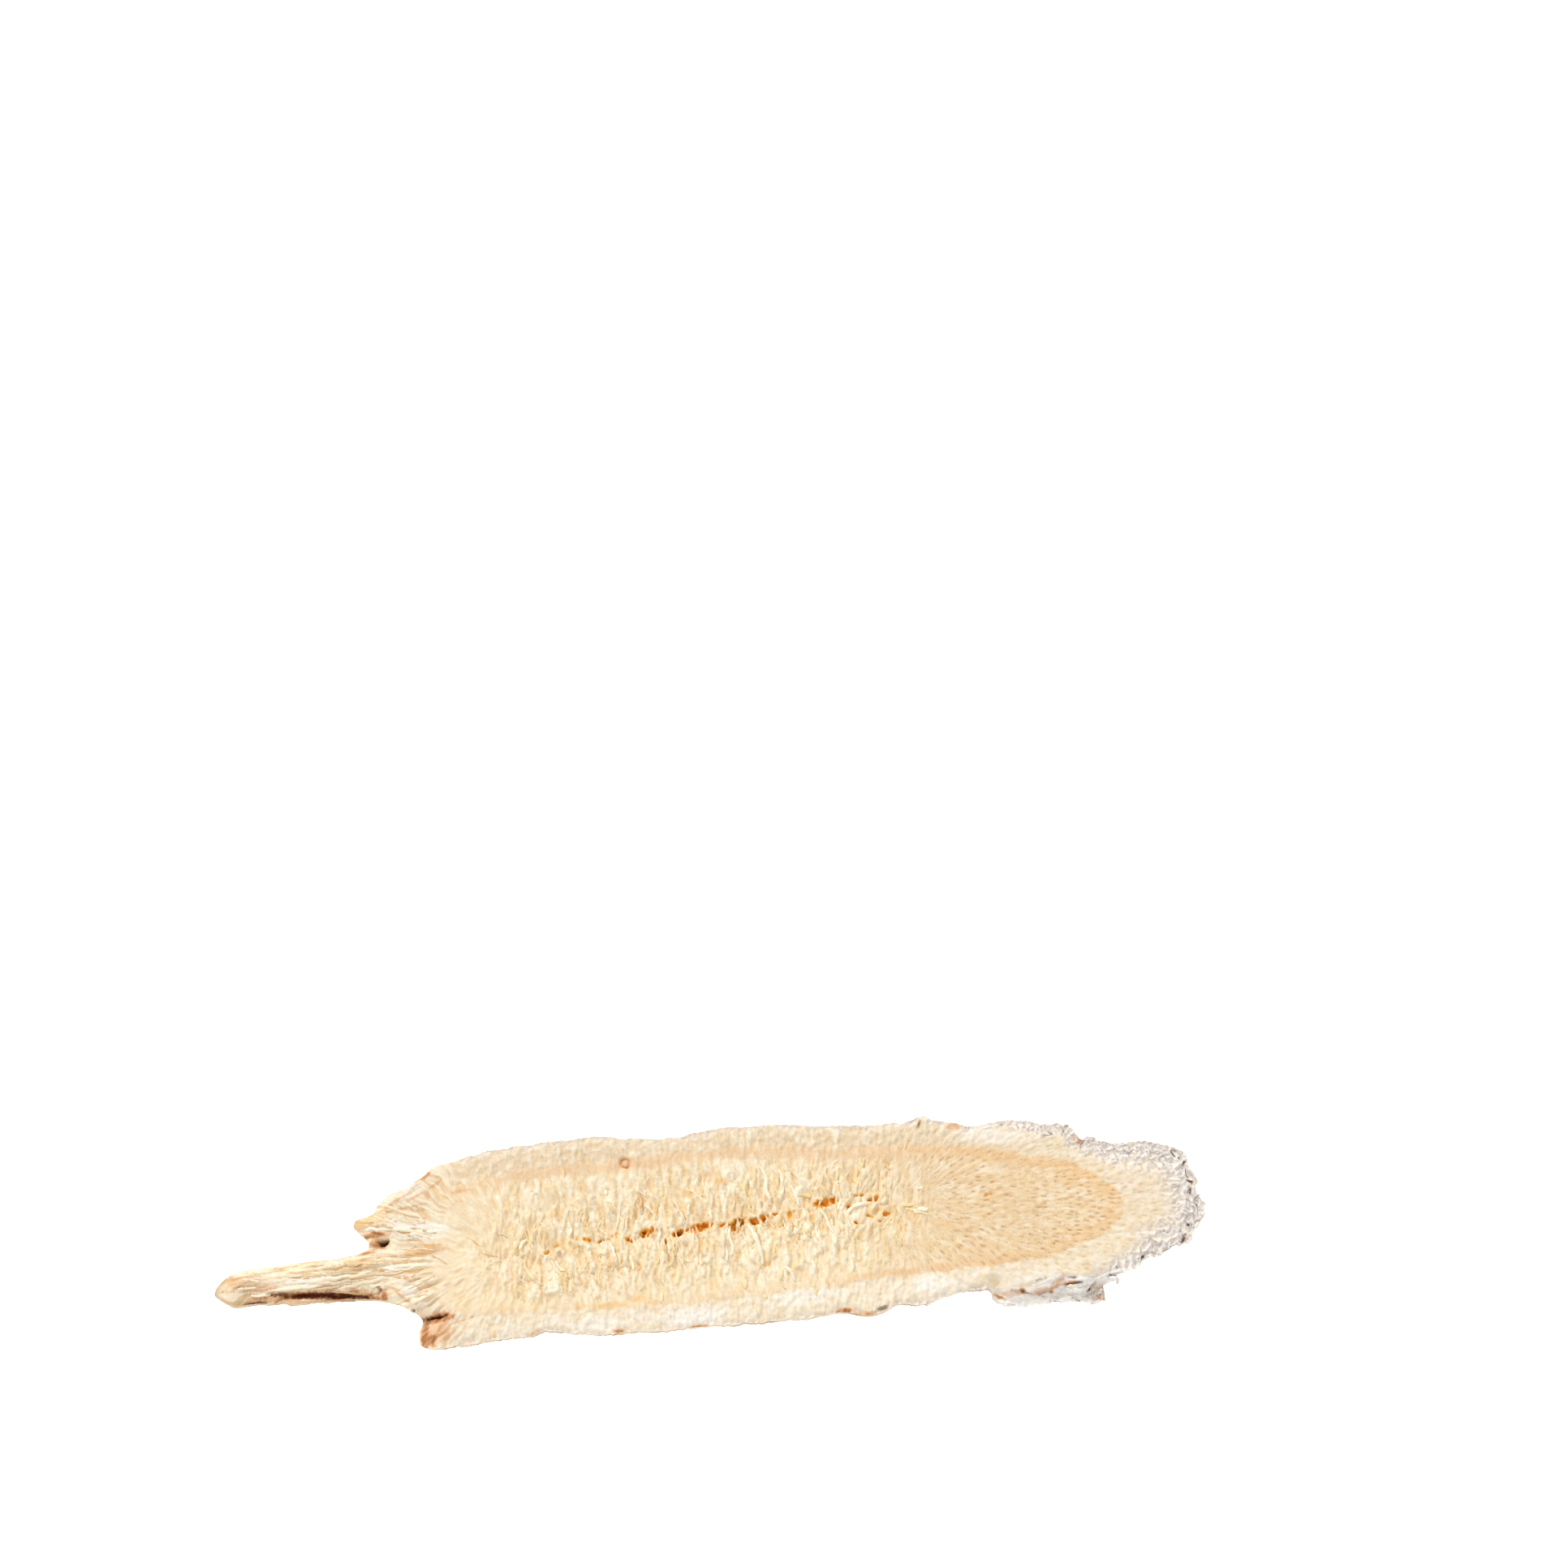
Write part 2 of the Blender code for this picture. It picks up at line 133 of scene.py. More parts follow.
# Near black marks and painted shade of holes, grooves, slits and the rootlet's underside: place, half length,
# half width, direction in degrees, strength
DARK_MARKS_AND_SHADE = [
    (-39.6, -6.0, 3.2, 0.2, 2, 1.0), (-35.9, -6.0, 2.2, 0.17, -7, 0.9), (-37.6, -6.1, 2.6, 0.15, -2, 0.9),
    (-42.6, -6.0, 1.0, 0.16, 4, 0.8), (-45.2, -6.85, 1.3, 0.16, 5, 0.9),
    (-32.75, -0.85, 0.52, 0.28, 10, 1.0), (-46.2, -5.3, 1.5, 0.1, 6, 0.4),
    (-45.6, -5.75, 1.6, 0.09, 5, 0.4), (-46.4, -4.9, 1.2, 0.08, 6, 0.35), (-44.6, -5.1, 0.9, 0.07, 6, 0.3),
    (-29.6, 4.6, 0.9, 0.06, 33, 0.35), (-31.0, 3.1, 1.2, 0.05, 25, 0.3),
    (-28.4, -4.9, 1.2, 0.05, -30, 0.25), (38.3, -5.9, 0.7, 0.6, 0, 0.12), (-32.9, -5.5, 0.12, 0.22, 0, 0.8),
    (-27.7, -8.1, 1.2, 0.17, 4, 1.0), (-45.9, -5.4, 1.4, 0.55, 8, 0.16), (-29.7, -7.5, 0.15, 0.11, 0, 0.7),
    (20.2, 10.9, 0.12, 0.4, -15, 0.7), (24.9, 10.7, 0.35, 0.1, -20, 0.5), (36.1, 9.3, 0.25, 0.15, 0, 0.7),
    (46.3, 7.0, 0.14, 0.34, -20, 1.0), (46.9, 5.2, 0.36, 0.13, -30, 1.0), (46.9, 4.2, 0.13, 0.4, 0, 0.8),
    (46.8, 0.9, 0.28, 0.15, 0, 0.9), (46.3, -0.5, 0.16, 0.5, -20, 0.9), (42.2, -2.3, 0.36, 0.15, 35, 1.0),
    (39.9, -3.25, 0.3, 0.1, 10, 0.9), (45.4, 8.2, 0.3, 0.08, -30, 0.7), (47.5, 2.7, 0.14, 0.32, 10, 0.7),
    (37.4, -5.05, 0.6, 0.12, 48, 1.0), (39.4, -4.0, 0.35, 0.08, -12, 1.0),
    (30.9, -5.6, 0.3, 0.06, -25, 0.7), (35.6, -4.75, 0.9, 0.09, 5, 0.9), (35.4, -4.25, 0.6, 0.08, 0, 0.8),
    (36.3, -4.65, 0.5, 0.06, 30, 0.7), (32.2, -4.45, 0.8, 0.07, 15, 0.6), (16.6, -7.3, 0.6, 0.2, 20, 0.7),
]

# Brown stains, and painted shade in the ledge's trough and along the rootlet's underside, in the same way
STAINS_AND_SHADE = [
    (-33.5, -0.1, 1.4, 0.3, 8, 0.9), (-34.3, -1.8, 0.9, 0.25, 12, 0.8), (-33.2, -1.0, 1.1, 0.45, 8, 0.6),
    (-38.9, -6.05, 5.2, 0.36, 1, 1.0), (-34.4, -6.0, 1.6, 0.34, -14, 0.8), (-43.8, -6.5, 2.4, 0.3, 4, 0.6),
    (-40.5, -6.85, 2.2, 0.2, 4, 0.45), (-45.5, -5.6, 1.4, 0.25, 8, 0.4), (-45.6, -5.0, 1.6, 0.16, 8, 0.3),
    (-28.6, 5.7, 0.7, 0.25, 35, 0.7), (-31.2, 3.3, 2.4, 0.14, 32, 0.5), (-30.6, 2.5, 2.2, 0.12, 15, 0.5),
    (-28.3, 3.9, 0.3, 0.5, 0, 0.4), (-25.0, 4.2, 1.0, 0.15, 10, 0.35), (12.9, -7.6, 0.9, 0.3, 10, 0.9),
    (-1.6, -9.2, 0.9, 0.22, 8, 0.9), (-9.4, -9.6, 0.7, 0.18, 0, 0.7), (-17.8, -9.9, 0.9, 0.25, 30, 0.5),
    (29.2, -5.75, 1.7, 0.3, 3, 0.34), (32.4, -5.4, 1.3, 0.28, 14, 0.34), (33.9, -4.75, 0.9, 0.35, 40, 0.42),
    (28.3, -6.0, 0.6, 0.13, -20, 0.9), (30.5, -5.45, 0.38, 0.18, -20, 1.0),
    (33.4, -5.5, 0.25, 0.14, 0, 1.0), (35.2, -4.75, 0.9, 0.2, 5, 0.6), (38.4, -5.6, 0.8, 0.9, 0, 0.32),
    (-33.1, -5.3, 0.2, 0.3, 0, 0.9), (-32.6, -6.2, 0.4, 0.55, 0, 0.9), (-28.7, -9.9, 0.55, 1.6, 0, 1.0),
    (-28.0, -10.4, 0.7, 0.7, -12, 0.9), (-27.2, -9.6, 1.4, 1.2, -12, 0.5), (-46.4, -4.9, 2.4, 0.8, 8, 0.3),
    (-44.6, -5.5, 1.8, 0.35, 6, 0.5), (-27.4, -9.0, 1.6, 0.16, 62, 0.5), (-26.6, -8.8, 1.4, 0.12, 50, 0.4),
    (-27.4, -8.3, 1.8, 0.5, 6, 1.0), (-25.0, -8.6, 1.6, 0.12, 20, 0.4), (-30.8, -6.2, 1.2, 0.14, -38, 0.45),
    (-31.6, -5.4, 0.9, 0.12, -20, 0.45), (-29.6, -5.0, 1.4, 0.1, -40, 0.35),
    (-34.6, -2.5, 2.0, 0.1, 4, 0.3), (-31.0, -3.8, 1.9, 0.1, 2, 0.5), (-27.6, 4.9, 0.9, 0.12, 38, 0.5),
    (-29.4, 3.7, 1.6, 0.12, 30, 0.45), (-30.4, -4.4, 0.3, 0.2, 0, 0.5), (-28.4, -5.7, 0.2, 0.2, 0, 0.5),
    (-28.6, -1.7, 1.9, 0.5, 10, 0.35), (-5.5, -10.0, 1.6, 0.35, 0, 0.5), (0.4, -9.5, 1.0, 0.35, 0, 0.7),
    (10.9, -8.2, 0.8, 0.3, 0, 0.8), (14.4, -8.1, 1.6, 0.4, 10, 0.55), (23.6, 10.6, 0.8, 0.4, 0, 0.5),
    (36.0, 9.4, 0.5, 0.7, 0, 0.35),
]

BORER_RING = (-8.8, 6.95, 0.42)  # the old borer hole by the far rim: place and radius

# Amber patches of the wood, in the same way as the stains
AMBERS = [
    (-34.0, 1.4, 1.9, 0.75, 8, 0.55), (-28.8, -1.6, 2.0, 0.45, 12, 0.7), (-41.0, -3.0, 2.5, 0.5, 5, 0.35),
    (-35.5, -3.4, 1.8, 0.5, 5, 0.35), (0.6, 5.2, 0.6, 0.35, 0, 0.7), (2.1, 3.8, 0.35, 0.45, 0, 0.7),
    (5.1, -3.0, 0.45, 0.28, 0, 0.8), (7.6, 1.7, 0.35, 0.65, 0, 0.7), (9.6, 1.5, 0.3, 0.6, 0, 0.6),
    (10.6, 0.7, 0.5, 0.4, 0, 0.7), (6.0, 1.0, 0.5, 0.35, 0, 0.5), (-2.8, 4.0, 0.6, 0.4, 0, 0.5),
    (-7.2, 3.6, 0.5, 0.5, 0, 0.45), (-15.8, 2.0, 0.5, 0.5, 0, 0.45), (-3.6, -1.2, 0.4, 0.8, 0, 0.6),
    (-7.6, -3.3, 0.6, 0.4, 0, 0.5), (-6.3, 1.9, 0.4, 0.5, 0, 0.5), (15.8, 2.3, 1.1, 0.25, 15, 0.6),
    (8.3, -1.5, 0.6, 0.4, 0, 0.3), (-10.4, -7.0, 0.9, 0.3, 10, 0.6), (-7.4, -6.4, 0.9, 0.35, 5, 0.6),
    (23.0, 0.8, 0.8, 0.3, 0, 0.4),
]

# White patches of fresh fibre and cork, in the same way
WHITES = [
    (-28.6, 0.4, 2.8, 0.9, 5, 0.9), (-29.9, 4.2, 0.9, 0.6, 20, 0.6), (-40.5, -4.7, 3.6, 0.2, 6, 0.8),
    (-43.0, -3.9, 1.8, 0.14, 8, 0.7), (-37.0, -3.9, 2.2, 0.16, 4, 0.7), (-32.6, 0.6, 2.4, 0.4, 5, 0.9),
    (-31.0, -3.3, 3.4, 0.35, 8, 0.9), (-31.0, -4.1, 3.0, 0.25, 0, 0.5), (-29.6, -5.9, 1.7, 0.8, -50, 0.6),
    (-41.0, -5.3, 3.0, 0.22, 8, 0.9), (-44.6, -6.25, 0.9, 0.22, 8, 1.0), (-44.2, -3.2, 0.5, 0.18, 0, 0.9),
    (-14.7, 0.4, 0.5, 0.9, 0, 0.7), (21.6, -5.0, 2.4, 0.9, 5, 0.8), (31.0, -4.4, 2.6, 0.5, 12, 0.5),
    (30.0, -6.6, 2.4, 0.35, 3, 0.9), (34.6, -6.2, 2.2, 0.4, 3, 0.9), (9.0, -6.2, 3.4, 0.9, 8, 0.6),
    (-2.0, -8.2, 3.4, 0.9, 5, 0.8), (-11.5, -8.9, 3.6, 0.6, 3, 0.6), (27.0, 9.7, 4.2, 0.8, -3, 0.55),
    (5.2, -0.6, 0.7, 1.5, 20, 0.6), (9.8, -3.4, 0.4, 0.6, 0, 0.8), (13.6, -3.3, 0.3, 0.5, 0, 0.8),
    (6.5, -3.6, 0.5, 0.8, 30, 0.7), (2.0, 4.5, 0.35, 0.8, 0, 0.7), (5.4, 5.4, 0.5, 1.3, -15, 0.7),
    (7.0, 4.6, 0.4, 0.9, -20, 0.7), (11.4, 3.4, 0.9, 0.35, 25, 0.6), (14.0, 1.9, 1.3, 0.4, 50, 0.7),
]

# The cambium, the ring where the wood ends, from the crown end round the blunt end and back
CAMBIUM_LINE = [
    (-26.5, 4.3), (-22.4, 5.5), (-18.0, 6.3), (-13.0, 6.9), (-8.0, 7.3), (-2.0, 8.1), (5.0, 8.5),
    (13.0, 8.4), (21.6, 8.6), (27.2, 8.2), (31.5, 7.6), (35.2, 7.0), (37.6, 5.9), (39.4, 4.6),
    (40.4, 3.1), (40.1, 1.6), (38.6, 0.2), (36.4, -1.1), (33.2, -2.2), (28.8, -2.9), (22.4, -3.6),
    (16.0, -4.5), (8.0, -5.6), (0.0, -6.5), (-8.0, -7.3), (-15.0, -7.7), (-21.0, -7.9), (-26.5, -7.6),
    (-30.0, -4.5), (-31.0, -1.0), (-29.8, 2.2),
]


def ease(low, high, value):
    """0 at low and 1 at high, with a smooth start and end; low may be the larger."""
    share = np.clip((value - low) / (high - low), 0.0, 1.0)
    return share * share * (3 - 2 * share)


def mixed(a, b, share):
    return a + (b - a) * share


def lattice(ix, iy, seed):
    """A repeatable value from 0 to 1 for each whole-numbered place."""
    mixed_bits = (ix * 374761393 + iy * 668265263 + seed * 974634777) & 0xFFFFFFFF
    mixed_bits = ((mixed_bits ^ (mixed_bits >> 13)) * 1274126177) & 0xFFFFFFFF
    return ((mixed_bits ^ (mixed_bits >> 16)) & 0xFFFFFF) / 0xFFFFFF


def noise(x, y, seed):
    """Smooth noise from about -1 to 1 with one swell in each unit square."""
    x0, y0 = np.floor(x).astype(np.int64), np.floor(y).astype(np.int64)
    fx, fy = x - x0, y - y0

    def corner(dx, dy):
        angle = lattice(x0 + dx, y0 + dy, seed) * math.tau
        return np.cos(angle) * (fx - dx) + np.sin(angle) * (fy - dy)

    across, along = fx * fx * fx * (fx * (fx * 6 - 15) + 10), fy * fy * fy * (fy * (fy * 6 - 15) + 10)
    low = mixed(corner(0, 0), corner(1, 0), across)
    high = mixed(corner(0, 1), corner(1, 1), across)
    return 1.5 * mixed(low, high, along)


def ridged(x, y, seed):
    """Noise with sharp crests: 1 on a crest and about 0 between."""
    return 1 - 2 * np.abs(noise(x, y, seed))


def around(x, y):
    """The unit squares around each point, as arrays of their numbers."""
    x0, y0 = np.floor(x).astype(np.int64), np.floor(y).astype(np.int64)
    for dx in (-1, 0, 1):
        for dy in (-1, 0, 1):
            yield x0 + dx, y0 + dy


def lenses(x, y, seed):
    """Scattered lens-shaped pores, one in each unit square: 1 in the middle of a strong one."""
    deepest = np.zeros(np.shape(x))
    for ix, iy in around(x, y):
        px = ix + 0.15 + 0.7 * lattice(ix, iy, seed)
        py = iy + 0.15 + 0.7 * lattice(ix, iy, seed + 7)
        strength = 0.4 + 0.6 * lattice(ix, iy, seed + 8) ** 1.5
        deepest = np.maximum(deepest, strength * ease(0.46, 0.1, np.hypot((x - px) * 2.0, y - py)))
    return deepest


def tufts(x, y, seed):
    """Tufts that overlap like shingles, one from each unit square: their height, and the tone of each."""
    height, tone = np.zeros(np.shape(x)), np.full(np.shape(x), 0.5)
    for ix, iy in around(x, y):
        across = x - ix - lattice(ix, iy, seed)
        along = y - iy - lattice(ix, iy, seed + 7)
        own = lattice(ix, iy, seed + 8)
        across = across - (own - 0.5) * 0.9 * along
        body = np.sqrt(np.clip(1 - (across / (0.34 + 0.2 * own)) ** 2, 0, 1))
        rise = ease(-0.95, 0.3, along) * ease(0.62, 0.45, along)
        own_height = body * rise * (0.45 + 0.55 * lattice(ix, iy, seed + 9))
        taller = own_height > height
        height = np.where(taller, own_height, height)
        tone = np.where(taller, own, tone)
    return np.stack([height, tone])


def sight(u, v):
    """The camera's line of sight through the place in the picture where the level frame has u and v."""
    across = HEART_PIXEL[0] - PICTURE_WIDTH / 2 + PIXELS_PER_MM * u
    up = PICTURE_WIDTH / 2 - HEART_PIXEL[1] + PIXELS_PER_MM * v
    ahead_part = math.cos(CAMERA_TILT) * FOCAL_PIXELS + math.sin(CAMERA_TILT) * up
    down_part = math.sin(CAMERA_TILT) * FOCAL_PIXELS - math.cos(CAMERA_TILT) * up
    return across, ahead_part, down_part


def seen_at(u, v):
    """Where a point of the face has to be so that the camera sees it at u and v of the flat picture."""
    across, ahead, down = sight(u, v)
    heart_across, heart_ahead, heart_down = sight(0.0, 0.0)
    stretch = heart_down / down
    return (across * stretch - heart_across) / PIXELS_PER_MM, (ahead * stretch - heart_ahead) / PIXELS_PER_MM


def to_scene(u, v, z):
    """Points of the flat picture, in mm, as points of the part's frame, in metres, in perspective."""
    room = TALLEST - CROWDED
    squeezed = TALLEST - room * np.exp(-np.maximum(z - CROWDED, 0.0) / room)
    return to_part(*seen_at(u, v), np.where(z > CROWDED, squeezed, z))


def to_part(u, v, z):
    """Points of the level frame, in mm, as points of the part's frame, in metres."""
    turn = math.radians(LIE_DEG)
    x = math.cos(turn) * u + math.sin(turn) * v + HEART_PLACE[0]
    y = -math.sin(turn) * u + math.cos(turn) * v + HEART_PLACE[1]
    return np.stack(np.broadcast_arrays(x, y, z), axis=-1) * MM


def from_part(points):
    """Points of the part's frame, in metres, as u, v and height in mm."""
    turn = math.radians(LIE_DEG)
    x = points[..., 0] / MM - HEART_PLACE[0]
    y = points[..., 1] / MM - HEART_PLACE[1]
    u = math.cos(turn) * x - math.sin(turn) * y
    v = math.sin(turn) * x + math.cos(turn) * y
    return u, v, points[..., 2] / MM


class Raster:
    """Values on a level grid over the slice, read between its points."""

    LOW = (-51.0, -13.4)
    HIGH = (50.0, 14.0)
    STEP = 0.2

    @classmethod
    def places(cls):
        """The grid's own points, as two arrays."""
        axes = [np.arange(low, high, cls.STEP) for low, high in zip(cls.LOW, cls.HIGH)]
        return np.meshgrid(*axes, indexing="ij")

    def __init__(self, values):
        self.values = values

    def at(self, u, v):
        """The value at any points, by straight lines between the grid's."""
        a = np.clip((u - self.LOW[0]) / self.STEP, 0, self.values.shape[0] - 1.001)
        b = np.clip((v - self.LOW[1]) / self.STEP, 0, self.values.shape[1] - 1.001)
        i, j = a.astype(int), b.astype(int)
        fa, fb = a - i, b - j
        grid = self.values
        low = mixed(grid[i, j], grid[i + 1, j], fa)
        high = mixed(grid[i, j + 1], grid[i + 1, j + 1], fa)
        return mixed(low, high, fb)


def softened(values, weights, reach):
    """A weighted blur with a standard deviation of reach, in mm, which fills what has no weight."""
    steps = int(3 * reach / Raster.STEP)
    kernel = np.exp(-0.5 * (np.arange(-steps, steps + 1) * Raster.STEP / reach) ** 2)
    total, weight = values * weights, weights.astype(float)
    for axis in (0, 1):
        total = sum(k * np.roll(total, n - steps, axis) for n, k in enumerate(kernel))
        weight = sum(k * np.roll(weight, n - steps, axis) for n, k in enumerate(kernel))
    return total / np.maximum(weight, 1e-9)


@functools.cache
def solid():
    """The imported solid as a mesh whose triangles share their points."""
    merged = bmesh.new()
    merged.from_mesh(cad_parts[SLICE_NODE].data)
    bmesh.ops.remove_doubles(merged, verts=merged.verts, dist=1e-6)
    merged.normal_update()
    return merged


@functools.cache
def rim():
    """The slice's outline seen from above: the edge of all faces that look up, anticlockwise."""
    follows = {}
    for face in solid().faces:
        if face.normal.z <= UPWARD:
            continue
        for loop in face.loops:
            if sum(other.normal.z > UPWARD for other in loop.edge.link_faces) == 1:
                follows[loop.vert] = loop.link_loop_next.vert
    longest = []
    while follows:
        start = next(iter(follows))
        chain, vert = [], start
        while vert in follows:
            chain.append(vert)
            vert = follows.pop(vert)
        longest = max(longest, chain, key=len)
    u, v, _ = from_part(np.array([vert.co for vert in longest]))
    return np.stack([u, v], axis=1)


def closed_curve(points, spacing):
    """Points this far apart on a smooth closed curve through the points given."""
    ahead = [np.roll(points, -n, axis=0) for n in (-1, 0, 1, 2)]
    found = []
    for before, start, end, after in zip(*ahead):
        pieces = max(1, round(math.dist(start, end) / spacing))
        t = (np.arange(pieces) / pieces)[:, None]
        bend = (2 * before - 5 * start + 4 * end - after) * t**2
        twist = (3 * start - before - 3 * end + after) * t**3
        found.append(0.5 * (2 * start + (end - before) * t + (bend + twist)))
    return np.concatenate(found)


def outward(points):
    """The unit direction out of a closed anticlockwise curve at each of its points."""
    along = np.roll(points, -2, axis=0) - np.roll(points, 2, axis=0)
    normal = np.stack([along[:, 1], -along[:, 0]], axis=1)
    return normal / np.linalg.norm(normal, axis=1)[:, None]


def line_gap(start, end, u, v):
    """How far points are from the straight line between two places."""
    du, dv = end - start
    share = np.clip(((u - start[0]) * du + (v - start[1]) * dv) / (du * du + dv * dv), 0, 1)
    return np.hypot(u - start[0] - share * du, v - start[1] - share * dv)


def depth_inside(outline, u, v):
    """How far points lie inside a closed outline; outside it the depth is negative."""
    ends = np.roll(outline, -1, axis=0)
    nearest = np.full(u.shape, np.inf)
    crossed = np.zeros(u.shape, bool)
    for start, end in zip(outline, ends):
        nearest = np.minimum(nearest, line_gap(start, end, u, v))
        du, dv = end - start
        if dv:
            crossed ^= ((start[1] > v) != (end[1] > v)) & (u < start[0] + (v - start[1]) / dv * du)
    return np.where(crossed, nearest, -nearest)


def crown_share(u):
    """0 on the plate and 1 on the rootlet and the stub."""
    return ease(*ROUND_ZONE, u)


@functools.cache
def form():
    """The solid's own shape as rasters: the rim's distance, and the heights of its two sides."""
    u, v = Raster.places()
    gap = depth_inside(rim(), u, v)
    inside = gap > 0
    tree = BVHTree.FromBMesh(solid())
    above, below = np.zeros(u.shape), np.zeros(u.shape)
    for i, j in np.argwhere(inside):
        x, y, _ = to_part(u[i, j], v[i, j], 0.0)
        above[i, j] = tree.ray_cast(Vector((x, y, 1.0)), Vector((0, 0, -1)))[0].z / MM
        below[i, j] = tree.ray_cast(Vector((x, y, -1.0)), Vector((0, 0, 1)))[0].z / MM
    crown = crown_share(u)
    plate_top = softened(above, gap > 0.5, 0.32)
    beside = softened(above, (gap > 0.5) & (Site.heart_distance(u, v) > 1.5), 1.0)
    plate_top = mixed(plate_top, beside - 0.12, ease(2.6, 1.2, Site.heart_distance(u, v)))
    plate_under = softened(below, gap > 0.9, 0.5)
    round_top = softened(above, gap > 0.12, 0.25)
    round_under = softened(below, gap > 0.3, 0.3)
    return {
        "gap": Raster(gap - RIM_INSET),
        "inward": Raster(depth_inside(closed_curve(np.array(CAMBIUM_LINE), 1.5), u, v)),
        "top": Raster(mixed(plate_top, round_top, crown)),
        "under": Raster(mixed(plate_under, round_under, crown)),
    }


class Site:
    """What is at each of a set of places on the slice: distances, directions and the kind of wood there."""

    FAN_NEAR, FAN_FAR = 7.0, 19.0  # the radii at which the streaks of the end fans have their true width
    CORK_WIDTHS = (0.8, 3.6)  # along the sides and at the blunt end
    FAR_CORK = 0.9  # how much wider the cork is on the far side

    def __init__(self, u, v):
        self.u, self.v = u, v
        self.gap = form()["gap"].at(u, v)
        self.find_rays()
        ragged = 0.22 * noise(u * 0.5, v * 0.5, 21) + 0.12 * noise(u * 2.1, v * 2.1, 22)
        self.inward = form()["inward"].at(u, v) + ragged
        fringe = 0.9 * noise(u * 0.7, v * 0.7, 25)
        self.crown = ease(*CROWN_ZONE, u - 0.25 * np.abs(v + 2.5) + fringe)
        self.wood = ease(-0.2, 0.2, self.inward) * (1 - self.crown)
        self.torn = ease(*TORN_ZONE, u) * (1 - self.crown)
        cork_width = mixed(*self.CORK_WIDTHS, ease(*WIDE_CORK_ZONE, u))
        cork_width = cork_width + self.FAR_CORK * ease(*FAR_CORK_ZONE, u) * (v > 0)
        self.cork = ease(cork_width, 0.3 * cork_width, self.gap + 0.45 * noise(u * 1.1, v * 1.1, 23))
        self.cork = self.cork * mixed(0.45, 1.0, ease(*CORK_ZONE, u)) * (1 - self.crown)
        line_u, line_v = np.transpose(LEDGE_LINE)
        ledge = ease(0.15, -0.15, v - np.interp(u, line_u, line_v))
        ledge = ledge * ease(*LEDGE_START, u) * ease(*LEDGE_END, u)
        self.cork = np.maximum(self.cork, ledge)
        self.ledge = ledge * (1 - ease(37.2, 37.5, u) * ease(-4.8, -5.1, v))

    @staticmethod
    def heart_distance(u, v):
        """How far points are from the heart line."""
        line = np.array(HEART_LINE)
        nearest = np.full(u.shape, np.inf)
        for start, end in zip(line, line[1:]):
            nearest = np.minimum(nearest, line_gap(start, end, u, v))
        return nearest

    def find_rays(self):
        """Sets the distance from the heart line, and the place around it for the near and the far fans."""
        line = np.array(HEART_LINE)
        self.reach = np.full(self.u.shape, np.inf)
        foot = np.zeros(self.u.shape)
        side = np.ones(self.u.shape)
        beyond = np.zeros(self.u.shape)
        length = 0.0
        for start, end in zip(line, line[1:]):
            du, dv = end - start
            size = math.hypot(du, dv)
            free_share = ((self.u - start[0]) * du + (self.v - start[1]) * dv) / size**2
            share = np.clip(free_share, 0, 1)
            gap = np.hypot(self.u - start[0] - share * du, self.v - start[1] - share * dv)
            nearer = gap < self.reach
            self.reach = np.where(nearer, gap, self.reach)
            foot = np.where(nearer, length + share * size, foot)
            beyond = np.where(nearer, (free_share - share) * size, beyond)
            turn = du * (self.v - start[1]) - dv * (self.u - start[0])
            side = np.where(nearer, np.where(turn >= 0, 1.0, -1.0), side)
            length += size
        left = self.fan_angle(line[0], line[0] - line[1]) * (foot <= 0)
        right = self.fan_angle(line[-1], line[-1] - line[-2]) * (foot >= length - 1e-9)
        left = np.where(foot <= 0, left, math.pi / 2)
        right = np.where(foot >= length - 1e-9, math.pi / 2 - right, 0.0)
        self.near_place, self.far_place = [
            side * (left * radius + foot + right * radius) for radius in (self.FAN_NEAR, self.FAN_FAR)
        ]
        self.far_share = ease(*FAR_FAN_ZONE, self.reach)
        past_end = (foot <= 0) | (foot >= length - 1e-9)
        self.pole = ease(*POLE_ZONE, self.reach) * past_end
        self.plain_place = side * (math.pi / 2 * self.FAN_NEAR + foot + beyond * past_end)
        self.plain_reach = np.sqrt(np.maximum(self.reach**2 - (beyond * past_end) ** 2, 0.0))

    def fan_angle(self, middle, axis):
        """The angle between a fan's axis and each point's direction from its middle, up to a right angle."""
        angle = np.arctan2(self.v - middle[1], self.u - middle[0]) - math.atan2(axis[1], axis[0])
        return np.minimum(np.abs((angle + math.pi) % math.tau - math.pi), math.pi / 2)

    def along_rays(self, pattern, width, length, seed, sway=0.0):
        """A pattern drawn out along the rays: width and length are those of one streak."""
        warp = sway * noise(self.u * 0.6, self.v * 0.6, seed + 50)
        near = pattern((self.near_place + warp) / width, self.reach / length, seed)
        far = pattern((self.far_place + warp) / width, self.reach / length, seed + 1)
        plain = pattern((self.plain_place + warp) / width, self.plain_reach / length, seed)
        return mixed(mixed(near, far, self.far_share), plain, self.pole)

    def swells(self, size, seed):
        """Noise whose swells have this size."""
        return noise(self.u / size, self.v / size, seed)

    def spots(self, places):
        """How deep the pits or how strong the stains of a list are here."""
        wobble = 1 + 0.3 * noise(self.u * 2.4, self.v * 2.4, 31) + 0.2 * noise(self.u * 6, self.v * 6, 32)
        deepest = np.zeros(self.u.shape)
        for u, v, half_length, half_width, turn, depth in places:
            near = np.hypot(self.u - u, self.v - v) < 3 * max(half_length, half_width)
            angle = math.radians(turn)
            du, dv = self.u[near] - u, self.v[near] - v
            along = (du * math.cos(angle) + dv * math.sin(angle)) / half_length
            across = (dv * math.cos(angle) - du * math.sin(angle)) / half_width
            gap = np.hypot(along, across) * wobble[near]
            deepest[near] = np.maximum(deepest[near], depth * ease(1.4, 0.5, gap))
        return deepest

